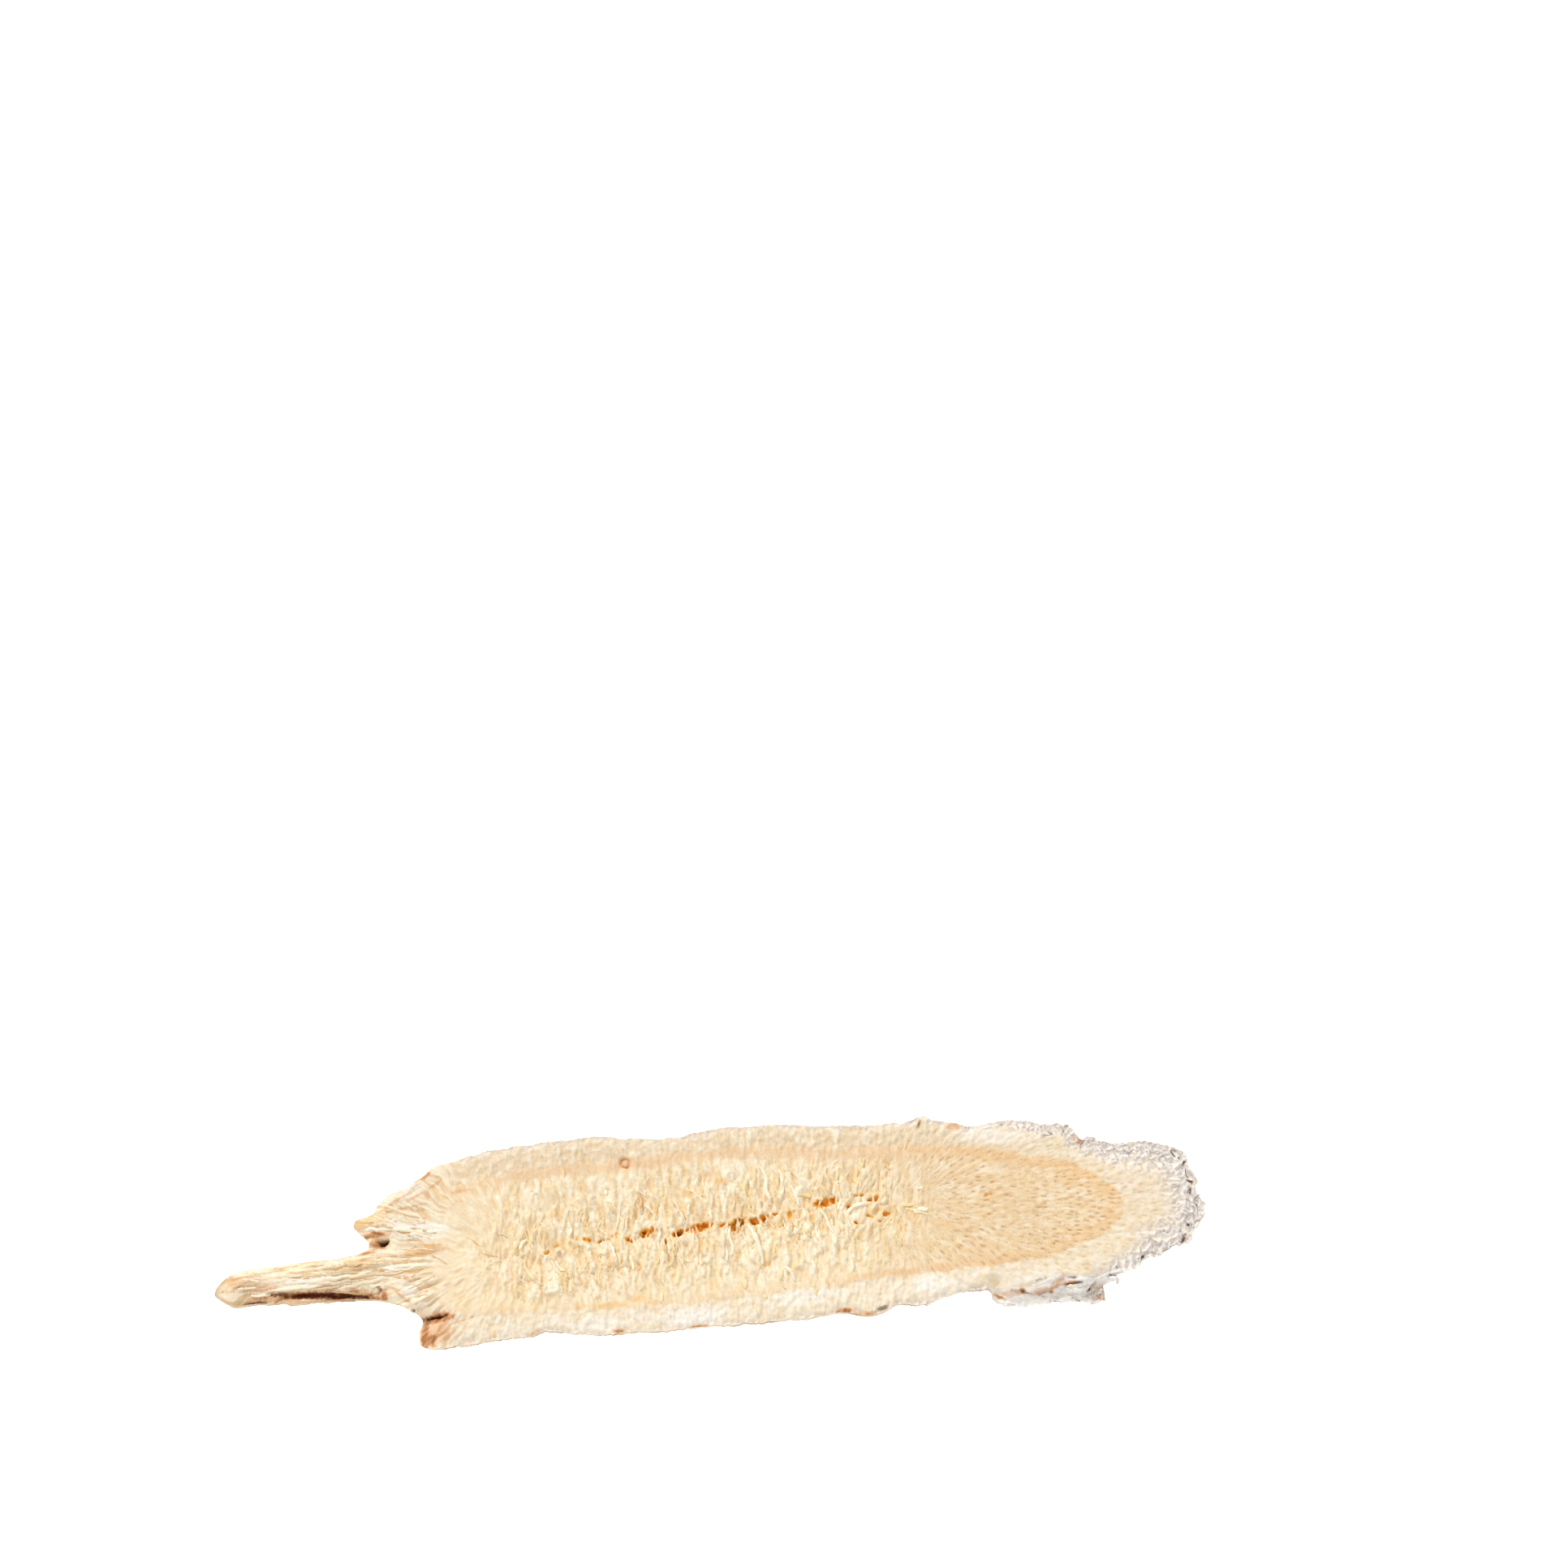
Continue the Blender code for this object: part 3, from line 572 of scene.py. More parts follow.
    def borer_ring(self, width):
        """1 on the ring of the old borer hole and 0 off it."""
        u, v, radius = BORER_RING
        return np.exp(-((np.hypot(self.u - u, self.v - v) - radius) / width) ** 2)


class Face:
    """The fine relief of the upper cut face, in mm over the solid's shape, and what colours it."""

    # Of the tufts: width, length and share of the height
    TUFT_SIZES = [(0.60, 2.3, 0.50), (0.40, 1.5, 0.32), (0.25, 0.9, 0.2)]
    TUFT_SEED = 100
    TUFT_SWAY = 0.5
    # Patterns along the rays: their kind, the width and length of a streak, the seed and the sway
    CLUMPS = (noise, 1.3, 2.6, 5, 0.4)
    FLOWS = (noise, 0.8, 1.8, 37, 0.5)
    PORES = (lenses, 0.42, 1.05, 7, 0.15)
    GRAIN = (noise, 0.19, 1.0, 9, 0.2)
    BROAD_GRAIN = (noise, 0.42, 1.7, 27, 0.2)
    RAYS = (noise, 0.38, 2.0, 13, 0.2)
    BUNDLES = (ridged, 1.5, 13.0, 17, 0.5)
    THREADS = (ridged, 0.33, 6.0, 19, 0.3)
    HAIRS = (noise, 0.24, 4.0, 29, 0.2)
    BRIDGES = (noise, 0.4, 3.0, 61, 0.3)
    # Patterns without a direction: the size of a swell and the seed
    LUMPS = (0.62, 11)
    SMALL_LUMPS = (0.27, 12)
    CRINKLES = (0.75, 15)
    SMALL_CRINKLES = (0.33, 16)
    EDGE_ZONE = (0.0, 0.5)  # over the distance from the rim, where the relief grows to its full height
    BORER_DEPTH = 0.25

    def __init__(self, site, shape):
        edge = ease(*self.EDGE_ZONE, site.gap)
        close = ease(*CLOSE_ZONE, site.reach)
        torn, tone = 0.0, 0.0
        for number, (width, length, share) in enumerate(self.TUFT_SIZES):
            height, own = site.along_rays(tufts, width, length, self.TUFT_SEED + 10 * number, self.TUFT_SWAY)
            torn, tone = torn + share * height, tone + share * own
        clumps = site.along_rays(*self.CLUMPS)
        quiet = 1 - 0.55 * ease(*QUIET_ZONE, site.u)  # towards the crown end the wood is less torn
        torn_height = shape.torn_height / MM * (0.55 + 0.45 * close) * quiet
        torn_relief = (torn - 0.35 + 0.3 * clumps) * torn_height

        pores = site.along_rays(*self.PORES)
        grain = site.along_rays(*self.GRAIN) + 0.5 * site.along_rays(*self.BROAD_GRAIN)
        fine_relief = (0.55 * grain - pores) * shape.pore_depth / MM

        lumps = site.swells(*self.LUMPS) + 0.5 * site.swells(*self.SMALL_LUMPS)
        rays = site.along_rays(*self.RAYS)
        blunt = ease(*BLUNT_ZONE, site.u)
        cortex = (0.4 * lumps + 0.3 * rays + 0.6 * torn - 0.3 + 0.25 * grain) * mixed(1.0, 0.5, blunt)
        cortex = (cortex - 0.5 * pores * blunt) * shape.cortex_lumps / MM
        crinkle = np.abs(site.swells(*self.CRINKLES)) + 0.5 * np.abs(site.swells(*self.SMALL_CRINKLES))

        bundles = site.along_rays(*self.BUNDLES)
        threads = site.along_rays(*self.THREADS)
        hairs = site.along_rays(*self.HAIRS)

        band = np.exp(-((site.inward - 0.5) / 0.7) ** 2)  # the cambium, which was cut smooth
        in_wood = mixed(fine_relief, torn_relief, site.torn) * (1 - 0.6 * band)
        height = mixed(cortex, in_wood, site.wood)
        crown_height = (0.45 * bundles + 0.7 * threads + 0.4 * hairs - 0.55) * shape.fibre_ridges / MM
        height = mixed(height, crown_height, site.crown)
        height = height - crinkle * shape.cork_crinkle / MM * site.cork * (1 - 0.45 * site.ledge)
        crack = site.spots(CRACK_PITS) * (1 - 0.9 * ease(0.05, 0.4, site.along_rays(*self.BRIDGES)))
        pits = np.maximum(0.6 * crack, site.spots(BARK_PITS))
        self.relief = height * edge - pits - self.BORER_DEPTH * site.borer_ring(0.12)
        self.pits = crack
        self.pores = pores * site.wood * (1 - site.torn)
        self.pores = self.pores + 0.4 * pores * ease(20.0, 30.0, site.u) * (1 - site.cork) * (1 - site.wood)
        # painted shade: how much warm tan of shade lies where the torn tufts are low, with a faint even share
        # elsewhere
        self.low = mixed(0.25, ease(0.45, 0.1, torn), site.torn) * mixed(0.5, 1.0, close * site.wood)
        flows = site.along_rays(*self.FLOWS)
        self.tone = 0.5 + (1.3 * (tone - 0.5) + 0.3 * flows) * quiet
        drawn = np.maximum(0.4 * site.torn, site.wood) * (1 - 0.6 * band)
        self.tone = mixed(0.5 + 0.42 * lumps, self.tone, drawn)
        self.tone = mixed(self.tone, 0.5 + 0.5 * threads, site.crown)
        # painted shade: grey-lilac laid along the cork's crinkles, less on the ledge
        self.crevice = ease(0.34, 0.08, crinkle) * site.cork * (1 - 0.75 * site.ledge)
        self.grain = mixed(grain * mixed(0.6, 1.0, site.wood), 0.8 * hairs - 0.25 * threads, site.crown)
        self.grain = self.grain * (1 - 0.7 * site.cork)


def top_height(site, face):
    """The height of the upper face, rounded off at the rim."""
    short = 1 - np.clip(site.gap / EDGE_RADIUS, 0, 1)
    rounded = EDGE_RADIUS * (1 - np.sqrt(1 - short * short)) * (1 - 0.5 * site.crown)
    return form()["top"].at(site.u, site.v) + face.relief - rounded


# Patterns of the underside, as the face's, and how deep its torn wood is
UNDER_TUFTS = (tufts, 0.6, 2.3, 161, 0.5)
UNDER_PORES = (lenses, 0.5, 1.0, 163, 0.12)
UNDER_DEPTH = 0.12


def under_height(site, shape):
    """The height of the underside, the cut face on which the slice lies."""
    lift = 0.34 * ease(0.9, 0.0, site.gap) * (1 - crown_share(site.u))
    torn = site.along_rays(*UNDER_TUFTS)[0]
    pores = site.along_rays(*UNDER_PORES)
    rough = mixed(pores * shape.pore_depth / MM, UNDER_DEPTH * (1 - torn), site.torn * site.wood)
    base = np.maximum(form()["under"].at(site.u, site.v), 0.0)
    return base + lift + 0.8 * rough * ease(0.0, 0.5, site.gap)


def scattered_points(spacing, seed, inset):
    """Staggered and slightly shaken points over the slice, at least inset from the rim."""
    rng = np.random.default_rng(seed)
    rise = spacing * math.sqrt(3) / 2
    rows = np.arange(Raster.LOW[1], Raster.HIGH[1], rise)
    steps = np.arange(Raster.LOW[0], Raster.HIGH[0], spacing)
    u, v = np.meshgrid(steps, rows)
    u = u + (np.arange(len(rows)) % 2)[:, None] * spacing / 2
    u = (u + rng.uniform(-0.22, 0.22, u.shape) * spacing).ravel()
    v = (v + rng.uniform(-0.22, 0.22, v.shape) * spacing).ravel()
    kept = form()["gap"].at(u, v) > inset
    return u[kept], v[kept]


def filled(outline, spacing, seed, inset):
    """The places of points, the outline's first, and the triangles between them that fill it."""
    u, v = scattered_points(spacing, seed, inset)
    flat = [Vector(point) for point in np.concatenate([outline, np.stack([u, v], axis=1)])]
    count = len(outline)
    edges = [(i, (i + 1) % count) for i in range(count)]
    placed, _, faces, sources, _, _ = geometry.delaunay_2d_cdt(flat, edges, [], 1, 1e-7)
    places = np.array(placed)
    for number, source in enumerate(sources):
        if source and source[0] < count:
            places[number] = outline[source[0]]
    faces = np.array(faces)
    used = np.unique(faces)
    renumbered = np.zeros(len(places), int)
    renumbered[used] = np.arange(len(used))
    return places[used], renumbered[faces]


RAGS = ((0.10, 0.55, 41), (0.06, 0.24, 42))  # the rim's rags: depth, size and seed


def fine_rim(shape):
    """The face's outline with its fine rags, and the directions out of it."""
    smooth = closed_curve(rim(), shape.rim_spacing / MM)
    out = outward(smooth)
    u, v = smooth.T
    cork = ease(*RAG_ZONE, u)
    crown = crown_share(u)
    rags = sum(depth * noise(u / size, v / size, seed) for depth, size, seed in RAGS)
    shake = rags * mixed(mixed(0.7, 1.7, cork), 0.35, crown)
    near = np.clip(-out[:, 1], 0, 1)  # the near side shows its bark too, so the face ends further in
    tip = 0.35 * ease(*TIP_ZONE, u)
    return smooth + out * (shake + tip - 0.1 - 0.2 * near)[:, None], out


def piece(name, points, faces, smooth=True):
    """A new object in the scene from points in the part's frame and faces, riding on the part."""
    mesh = bpy.data.meshes.new(name)
    mesh.from_pydata(points, [], faces)
    mesh.validate()
    if smooth:
        mesh.shade_smooth()
    made = bpy.data.objects.new(name, mesh)
    bpy.context.scene.collection.objects.link(made)
    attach(made, "root")
    return made


def paint(made, **fields):
    """Stores values for each point of a piece, for its material to read."""
    for name, values in fields.items():
        attribute = made.data.attributes.new(name, "FLOAT", "POINT")
        attribute.data.foreach_set("value", np.ascontiguousarray(values, np.float32))


def ring_strength(site):
    """How orange the wood is inside the cambium: most at the blunt end, and faint beside the crown."""
    width = mixed(1.3, 2.6, ease(27.0, 38.0, site.u))
    width = mixed(width, 1.9, ease(-5.0, -15.0, site.u))
    strength = mixed(0.5, 1.0, ease(6.0, 30.0, site.u)) * mixed(0.75, 1.0, ease(0.0, 6.0, site.v))
    strength = strength * mixed(1.0, 0.35, ease(29.0, 22.0, site.u) * ease(1.0, -1.0, site.v))
    strength = strength * (0.8 + 0.45 * noise(site.u * 0.9, site.v * 2.2, 33))
    broad = ease(-0.2, 0.25, site.inward) * ease(width, 0.35 * width, site.inward) * strength
    line = mixed(0.6, 0.9, ease(-2.0, 2.0, site.v)) * np.exp(-((site.inward - 0.35) / 0.35) ** 2)
    line = line * ease(-0.5, 0.3, noise(site.u * 0.35, site.v, 36))
    return np.clip(np.maximum(broad, line), 0, 1) * (1 - site.crown)


def band_strength(site):
    """The smooth band of the cambium: broad and faint on the far side, thin and strong on the near one."""
    far = ease(-1.0, 1.0, site.v)
    shape = np.exp(-((site.inward - 0.4) / mixed(0.34, 0.62, far)) ** 4)
    broken = 0.75 + 0.6 * noise(site.u * 0.3, site.v * 0.8, 36)
    near_part = ease(8.0, 17.0, site.u) * ease(33.0, 28.0, site.u)
    far_part = 0.85 * ease(-24.0, -18.0, site.u) * ease(36.0, 26.0, site.u)
    return np.clip(shape * broken * mixed(near_part, far_part, far), 0, 1) * (1 - site.crown)


def paint_face(made, site, face):
    """Stores on a cut face all that its material reads."""
    warm = ease(4.5, 0.5, site.reach) * site.torn * ease(-0.1, 0.6, noise(site.u * 0.8, site.v * 0.55, 34))
    far_dull = ease(-3.0, 5.0, site.v) * ease(1.5, 6.0, site.reach) * (1 - 0.7 * ease(22.0, 36.0, site.u))
    near_dull = 0.35 * ease(-1.0, -4.5, site.v) * ease(21.0, 12.0, site.u) * site.wood
    paint(
        made,
        wood=site.wood,
        right=ease(*TAN_ZONE, site.u),
        crown=site.crown,
        cork=site.cork,
        ring=ring_strength(site),
        band=band_strength(site),
        tone=face.tone,
        # painted shade between the torn tufts
        low=face.low,
        pore=face.pores,
        # painted shade in the crack's pits, by their depth
        pit=ease(0.05, 0.6, face.pits),
        upper=far_dull + near_dull,
        shoot=ease(*SHOOT_ZONE, site.u),
        ledge=site.ledge,
        # painted shade along the cork's crinkles
        crevice=face.crevice,
        grain=face.grain,
        # real dark marks, and painted shade in holes, grooves, slits and along the rootlet's underside
        dark=site.spots(DARK_MARKS_AND_SHADE),
        amber=np.maximum(site.spots(AMBERS), 0.35 * warm),
        white=site.spots(WHITES),
        # brown stains, with painted shade in the ledge's trough and under the rootlet, and the borer hole's
        # ring
        stain=np.maximum(site.spots(STAINS_AND_SHADE), 0.75 * site.borer_ring(0.14)),
        edge_line=ease(0.22, 0.02, site.gap) * ease(-0.25, 0.3, noise(site.u * 0.45, site.v * 0.45, 35)),
    )


def feed(tree, socket, value):
    """Gives a socket its link or its plain value."""
    if isinstance(value, Shade):
        tree.links.new(value.socket, socket)
    else:
        socket.default_value = value


def add_node(tree, kind, settings, inputs, output=0):
    """Adds a node: its settings are set first, then its sockets get their values or links."""
    node = tree.nodes.new(kind)
    for name, value in settings.items():
        setattr(node, name, value)
    for name, value in inputs.items():
        feed(tree, node.inputs[name], value)
    return Shade(tree, node.outputs[output])


class Shade:
    """A shader socket that takes part in Python sums."""

    def __init__(self, tree, socket):
        self.tree, self.socket = tree, socket

    def math(self, operation, *values):
        return add_node(self.tree, "ShaderNodeMath", {"operation": operation}, dict(enumerate(values)))

    def __add__(self, other):
        return self.math("ADD", self, other)

    def __sub__(self, other):
        return self.math("SUBTRACT", self, other)

    def __rsub__(self, other):
        return self.math("SUBTRACT", other, self)

    def __mul__(self, other):
        return self.math("MULTIPLY", self, other)

    __radd__ = __add__
    __rmul__ = __mul__

    def between(self, low, high):
        """0 where this is low and 1 where it is high, and straight between."""
        inputs = {"Value": self, "From Min": low, "From Max": high}
        return add_node(self.tree, "ShaderNodeMapRange", {"clamp": True}, inputs, "Result")


class Finish:
    """A material that is being put together, with its Principled shader."""

    # painted glow: the surface emits a warm copy of its colour, standing in for light that comes through the
    # fibres
    GLOW = 0.12  # strength of the light that comes through the fibres
    SHEEN = 0.25  # specular level of the dry surface

    def __init__(self, name):
        self.material = bpy.data.materials.new(name)
        self.material.use_nodes = True
        self.tree = self.material.node_tree
        self.shader = self.tree.nodes["Principled BSDF"]
        self.colour = None

    def attribute(self, name):
        return add_node(self.tree, "ShaderNodeAttribute", {"attribute_name": name}, {}, "Fac")

    def noise(self, scale, detail=3.0, roughness=0.55, stretch=(1.0, 1.0, 1.0)):
        """Noise with this many swells in a millimetre."""
        place = add_node(self.tree, "ShaderNodeTexCoord", {}, {}, "Object")
        factors = [scale / MM * part for part in stretch]
        place = add_node(self.tree, "ShaderNodeVectorMath", {"operation": "MULTIPLY"}, {0: place, 1: factors})
        inputs = {"Vector": place, "Scale": 1.0, "Detail": detail, "Roughness": roughness}
        return add_node(self.tree, "ShaderNodeTexNoise", {}, inputs)

    def mix(self, share, first, second, blend="MIX"):
        """One colour going over into another."""
        settings = {"data_type": "RGBA", "blend_type": blend, "clamp_factor": True}
        inputs = {0: share, 6: rgba(first), 7: rgba(second)}
        return add_node(self.tree, "ShaderNodeMix", settings, inputs, 2)

    def cover(self, share, colour):
        """Lays a share of a colour over the one reached so far."""
        self.colour = self.mix(share, self.colour, colour)

    def done(self, roughness, bump, strength, distance, glow=None):
        """Feeds the shader, and gives back the material; glow tints the painted glow, an emission that stands
        in for light coming through fibres.
        """
        looks = {"Base Color": self.colour, "Roughness": roughness, "Specular IOR Level": self.SHEEN}
        if glow is not None:
            looks["Emission Color"] = self.mix(1.0, self.colour, glow, "MULTIPLY")
            looks["Emission Strength"] = self.GLOW
        inputs = {"Height": bump, "Strength": strength, "Distance": distance}
        looks["Normal"] = add_node(self.tree, "ShaderNodeBump", {}, inputs)
        return self.with_looks(looks)

    def with_looks(self, looks):
        """The material, with these values or links in its shader."""
        for name, value in looks.items():
            feed(self.tree, self.shader.inputs[name], value)
        return self.material


def rgba(colour):
    return colour if isinstance(colour, Shade) else (*colour, 1.0)


def cut_wood(colours):
    """The dry cut wood: rings, rays, pale cork, and painted shade: orange in the hollows and tan between the
    tufts; all from what is stored at its points.
    """
    finish = Finish("cut_wood")
    stored = finish.attribute
    tone = stored("tone")
    blotch = finish.noise(0.45, 3.0)
    patch = finish.noise(1.1, 2.0)
    fleck = finish.noise(4.5, 4.0, 0.65)
    wood = finish.mix(stored("right"), colours.wood, colours.wood_tan)
    wood = finish.mix(blotch.between(0.5, 0.66) * 0.5, wood, colours.wood_yellow)
    cortex = finish.mix(patch.between(0.42, 0.6), colours.cortex, colours.cortex_tan)
    cortex = finish.mix(blotch.between(0.5, 0.7) * 0.6, cortex, colours.cork)
    cortex = finish.mix(stored("upper") * (0.55 + 0.7 * patch), cortex, colours.cortex_dull)
    finish.colour = finish.mix(stored("wood"), cortex, wood)
    finish.cover(stored("upper") * (0.1 + 0.5 * patch), colours.wood_dull)
    finish.cover(stored("ring"), colours.cambium)
    crown = finish.mix(stored("shoot") * (0.5 + 0.6 * patch), colours.crown, colours.rootlet)
    finish.cover(stored("crown"), crown)
    finish.cover(stored("cork") * patch.between(0.2, 0.5), colours.cork)
    finish.cover(stored("cork") * fleck.between(0.5, 0.7), colours.flake)
    calm = 1 - 0.4 * stored("right")
    finish.cover(tone.between(0.5, 0.85) * 0.85 * calm, colours.fibre)
    finish.cover(tone.between(0.45, 0.15) * 0.6 * calm, colours.wood_yellow)
    finish.cover(tone.between(0.3, 0.0) * 0.5, colours.shadow_tan)
    # painted shade: warm tan where the tufts are low
    finish.cover(stored("low") * 0.55, colours.shadow_tan)
    grain = stored("grain")
    streak = finish.mix(stored("crown"), colours.shadow_tan, colours.streak)
    finish.cover(grain.between(0.15, 0.75) * 0.6, streak)
    fresh = finish.mix(stored("shoot"), colours.fibre, colours.wood_yellow)
    finish.cover(grain.between(-0.1, -0.7) * 0.5 * calm, fresh)
    band = finish.mix(stored("right") * 0.6, colours.band, colours.cambium)
    finish.cover(stored("band") * 0.85, band)
    finish.cover(stored("pore") * (0.6 + 0.9 * fleck), colours.pore)
    grit = finish.noise(6.5, 3.0, 0.7)
    bare = 1 - 0.85 * stored("cork")
    finish.cover(grit.between(0.54, 0.7) * 0.38 * bare, colours.shadow_tan)
    finish.cover(grit.between(0.46, 0.32) * 0.42 * bare, colours.fibre)
    finish.cover(stored("amber") * patch.between(0.25, 0.5), colours.amber)
    white = finish.mix(stored("wood"), colours.flake, colours.fibre)
    finish.cover(stored("white") * patch.between(0.25, 0.45), white)
    # painted shade: grey-lilac along the cork's crinkles
    finish.cover(stored("crevice") * blotch.between(0.3, 0.5), colours.crevice)
    finish.cover(stored("ledge") * fleck.between(0.75, 0.5), colours.flake)
    # painted shade: orange in the crack's pits by their depth, and dark brown at the bottom of the deepest
    pit = stored("pit")
    finish.cover(pit.between(0.1, 0.5), colours.hollow)
    finish.cover(pit.between(0.65, 1.0) * patch.between(0.45, 0.6), colours.deep)
    # brown stains, and painted shade in the ledge's trough and along the rootlet's underside
    stain = stored("stain") * (0.35 + 0.5 * fleck + 0.55 * grain.between(-0.4, 0.4))
    finish.cover(stain.between(0.0, 0.5), colours.stain_pale)
    finish.cover(stain.between(0.45, 0.95), colours.stain)
    finish.cover(stored("edge_line") * 0.6, colours.bark)
    # painted shade in holes, grooves, slits and under the rootlet, with real dark marks
    finish.cover(stored("dark") * (0.5 + fleck), colours.dark)
    bump = finish.noise(7.0, 3.0, 0.6) + 0.6 * finish.noise(16.0, 2.0, 0.6)
    glow = finish.mix(stored("cork"), colours.glow, colours.flake)
    return finish.done(0.78 + 0.2 * fleck, bump, 0.3, 0.00008, glow)


def bark_skin(colours):
    """The thin brown bark around the slice, wrinkled along the root, and grey cork round the blunt end."""
    finish = Finish("bark_skin")
    patch = finish.noise(0.3, 3.0, 0.6, (0.5, 1.0, 1.2))
    wrinkle = finish.noise(1.6, 4.0, 0.6, (0.25, 1.0, 2.2))
    fleck = finish.noise(5.0, 3.0)
    finish.colour = finish.mix(wrinkle.between(0.3, 0.65), colours.bark_dark, colours.bark)
    finish.cover(patch.between(0.38, 0.52) * 0.85, colours.bark_pale)
    finish.cover(fleck.between(0.55, 0.75) * 0.5, colours.bark_dark)
    grey = finish.mix(fleck.between(0.35, 0.6), colours.crevice, colours.cork)
    finish.cover(finish.attribute("cork_end"), grey)
    edge = finish.attribute("edge") * patch.between(0.62, 0.5)
    finish.cover(edge, colours.bark_edge)
    return finish.done(0.75 + 0.2 * fleck, wrinkle + 0.4 * fleck, 0.5, 0.0002)


def loose_fibre(colours):
    """The torn fibres: near white, each with its own tone."""
    finish = Finish("loose_fibre")
    tone = finish.attribute("tone")
    fleck = finish.noise(3.0, 2.0)
    finish.colour = finish.mix(tone.between(0.05, 0.35), colours.fibre, colours.wood)
    finish.cover(tone.between(0.45, 0.7), colours.wood_yellow)
    finish.cover(tone.between(0.85, 1.0), colours.shadow_tan)
    finish.cover(fleck.between(0.5, 0.8) * 0.3, colours.shadow_tan)
    return finish.done(0.8 + 0.1 * fleck, finish.noise(12.0, 2.0), 0.25, 0.00006, colours.glow)


def crown_fibre(colours):
    """The long fibres of the crown end: cream, tan and some brown."""
    finish = Finish("crown_fibre")
    tone = finish.attribute("tone")
    fleck = finish.noise(2.0, 3.0)
    finish.colour = finish.mix(tone.between(0.05, 0.35), colours.fibre, colours.thread)
    finish.cover(tone.between(0.45, 0.75), colours.streak)
    finish.cover(tone.between(0.7, 0.9), colours.stain)
    finish.cover(fleck.between(0.5, 0.75) * 0.5, colours.wood_yellow)
    return finish.done(0.75 + 0.15 * fleck, finish.noise(9.0, 2.0), 0.3, 0.00008, colours.glow)


def cork_flake(colours):
    """The flakes of cork: white, grey and a few nearly black."""
    finish = Finish("cork_flake")
    tone = finish.attribute("tone")
    fleck = finish.noise(3.0, 3.0)
    finish.colour = finish.mix(tone.between(0.1, 0.6), colours.flake, colours.cork)
    finish.cover(tone.between(0.4, 0.8), colours.crevice)
    finish.cover(tone.between(0.8, 1.0), colours.dark)
    finish.cover(fleck.between(0.5, 0.75) * 0.5, colours.crevice)
    return finish.done(0.8 + 0.15 * fleck, finish.noise(6.0, 3.0), 0.4, 0.0001)


def length_property(name, description, default):
    return FloatProperty(
        name=name, description=description, default=default, subtype="DISTANCE", unit="LENGTH", precision=6
    )


def angle_property(name, description, degrees):
    return FloatProperty(
        name=name, description=description, default=math.radians(degrees), subtype="ANGLE", unit="ROTATION"
    )


def colour_property(name, description, default):
    return FloatVectorProperty(
        name=name, description=description, default=default, subtype="COLOR", size=3, min=0.0, max=1.0
    )


class RootShape(bpy.types.PropertyGroup):
    """Sizes of the slice's fine surface."""

    face_spacing: length_property("Face spacing", "How far apart the points of the cut face are", 0.000138)
    under_spacing: length_property("Underside spacing", "How far apart the underside's points are", 0.00026)
    rim_spacing: length_property("Rim spacing", "How far apart the points of the rim are", 0.00012)
    torn_height: length_property("Torn fibres", "Height of the torn wood beside the heart crack", 0.0009)
    pore_depth: length_property("Pores", "Depth of the lens-shaped pores towards the blunt end", 0.00015)
    cortex_lumps: length_property("Cortex lumps", "Height of the lumps of the pale cortex", 0.00028)
    cork_crinkle: length_property("Cork crinkle", "Depth of the crinkles of the cork rim", 0.0006)
    fibre_ridges: length_property("Fibre ridges", "Height of the fibre bundles of the crown end", 0.0004)
    fibre_count: IntProperty(
        name="Loose fibres", description="How many torn fibres lie on the cut face", default=260, min=0
    )
    crown_fibre_count: IntProperty(
        name="Crown fibres", description="How many long fibres start on the crown end", default=80, min=0
    )
    fibre_width: length_property("Fibre width", "Width of a loose fibre", 0.0003)


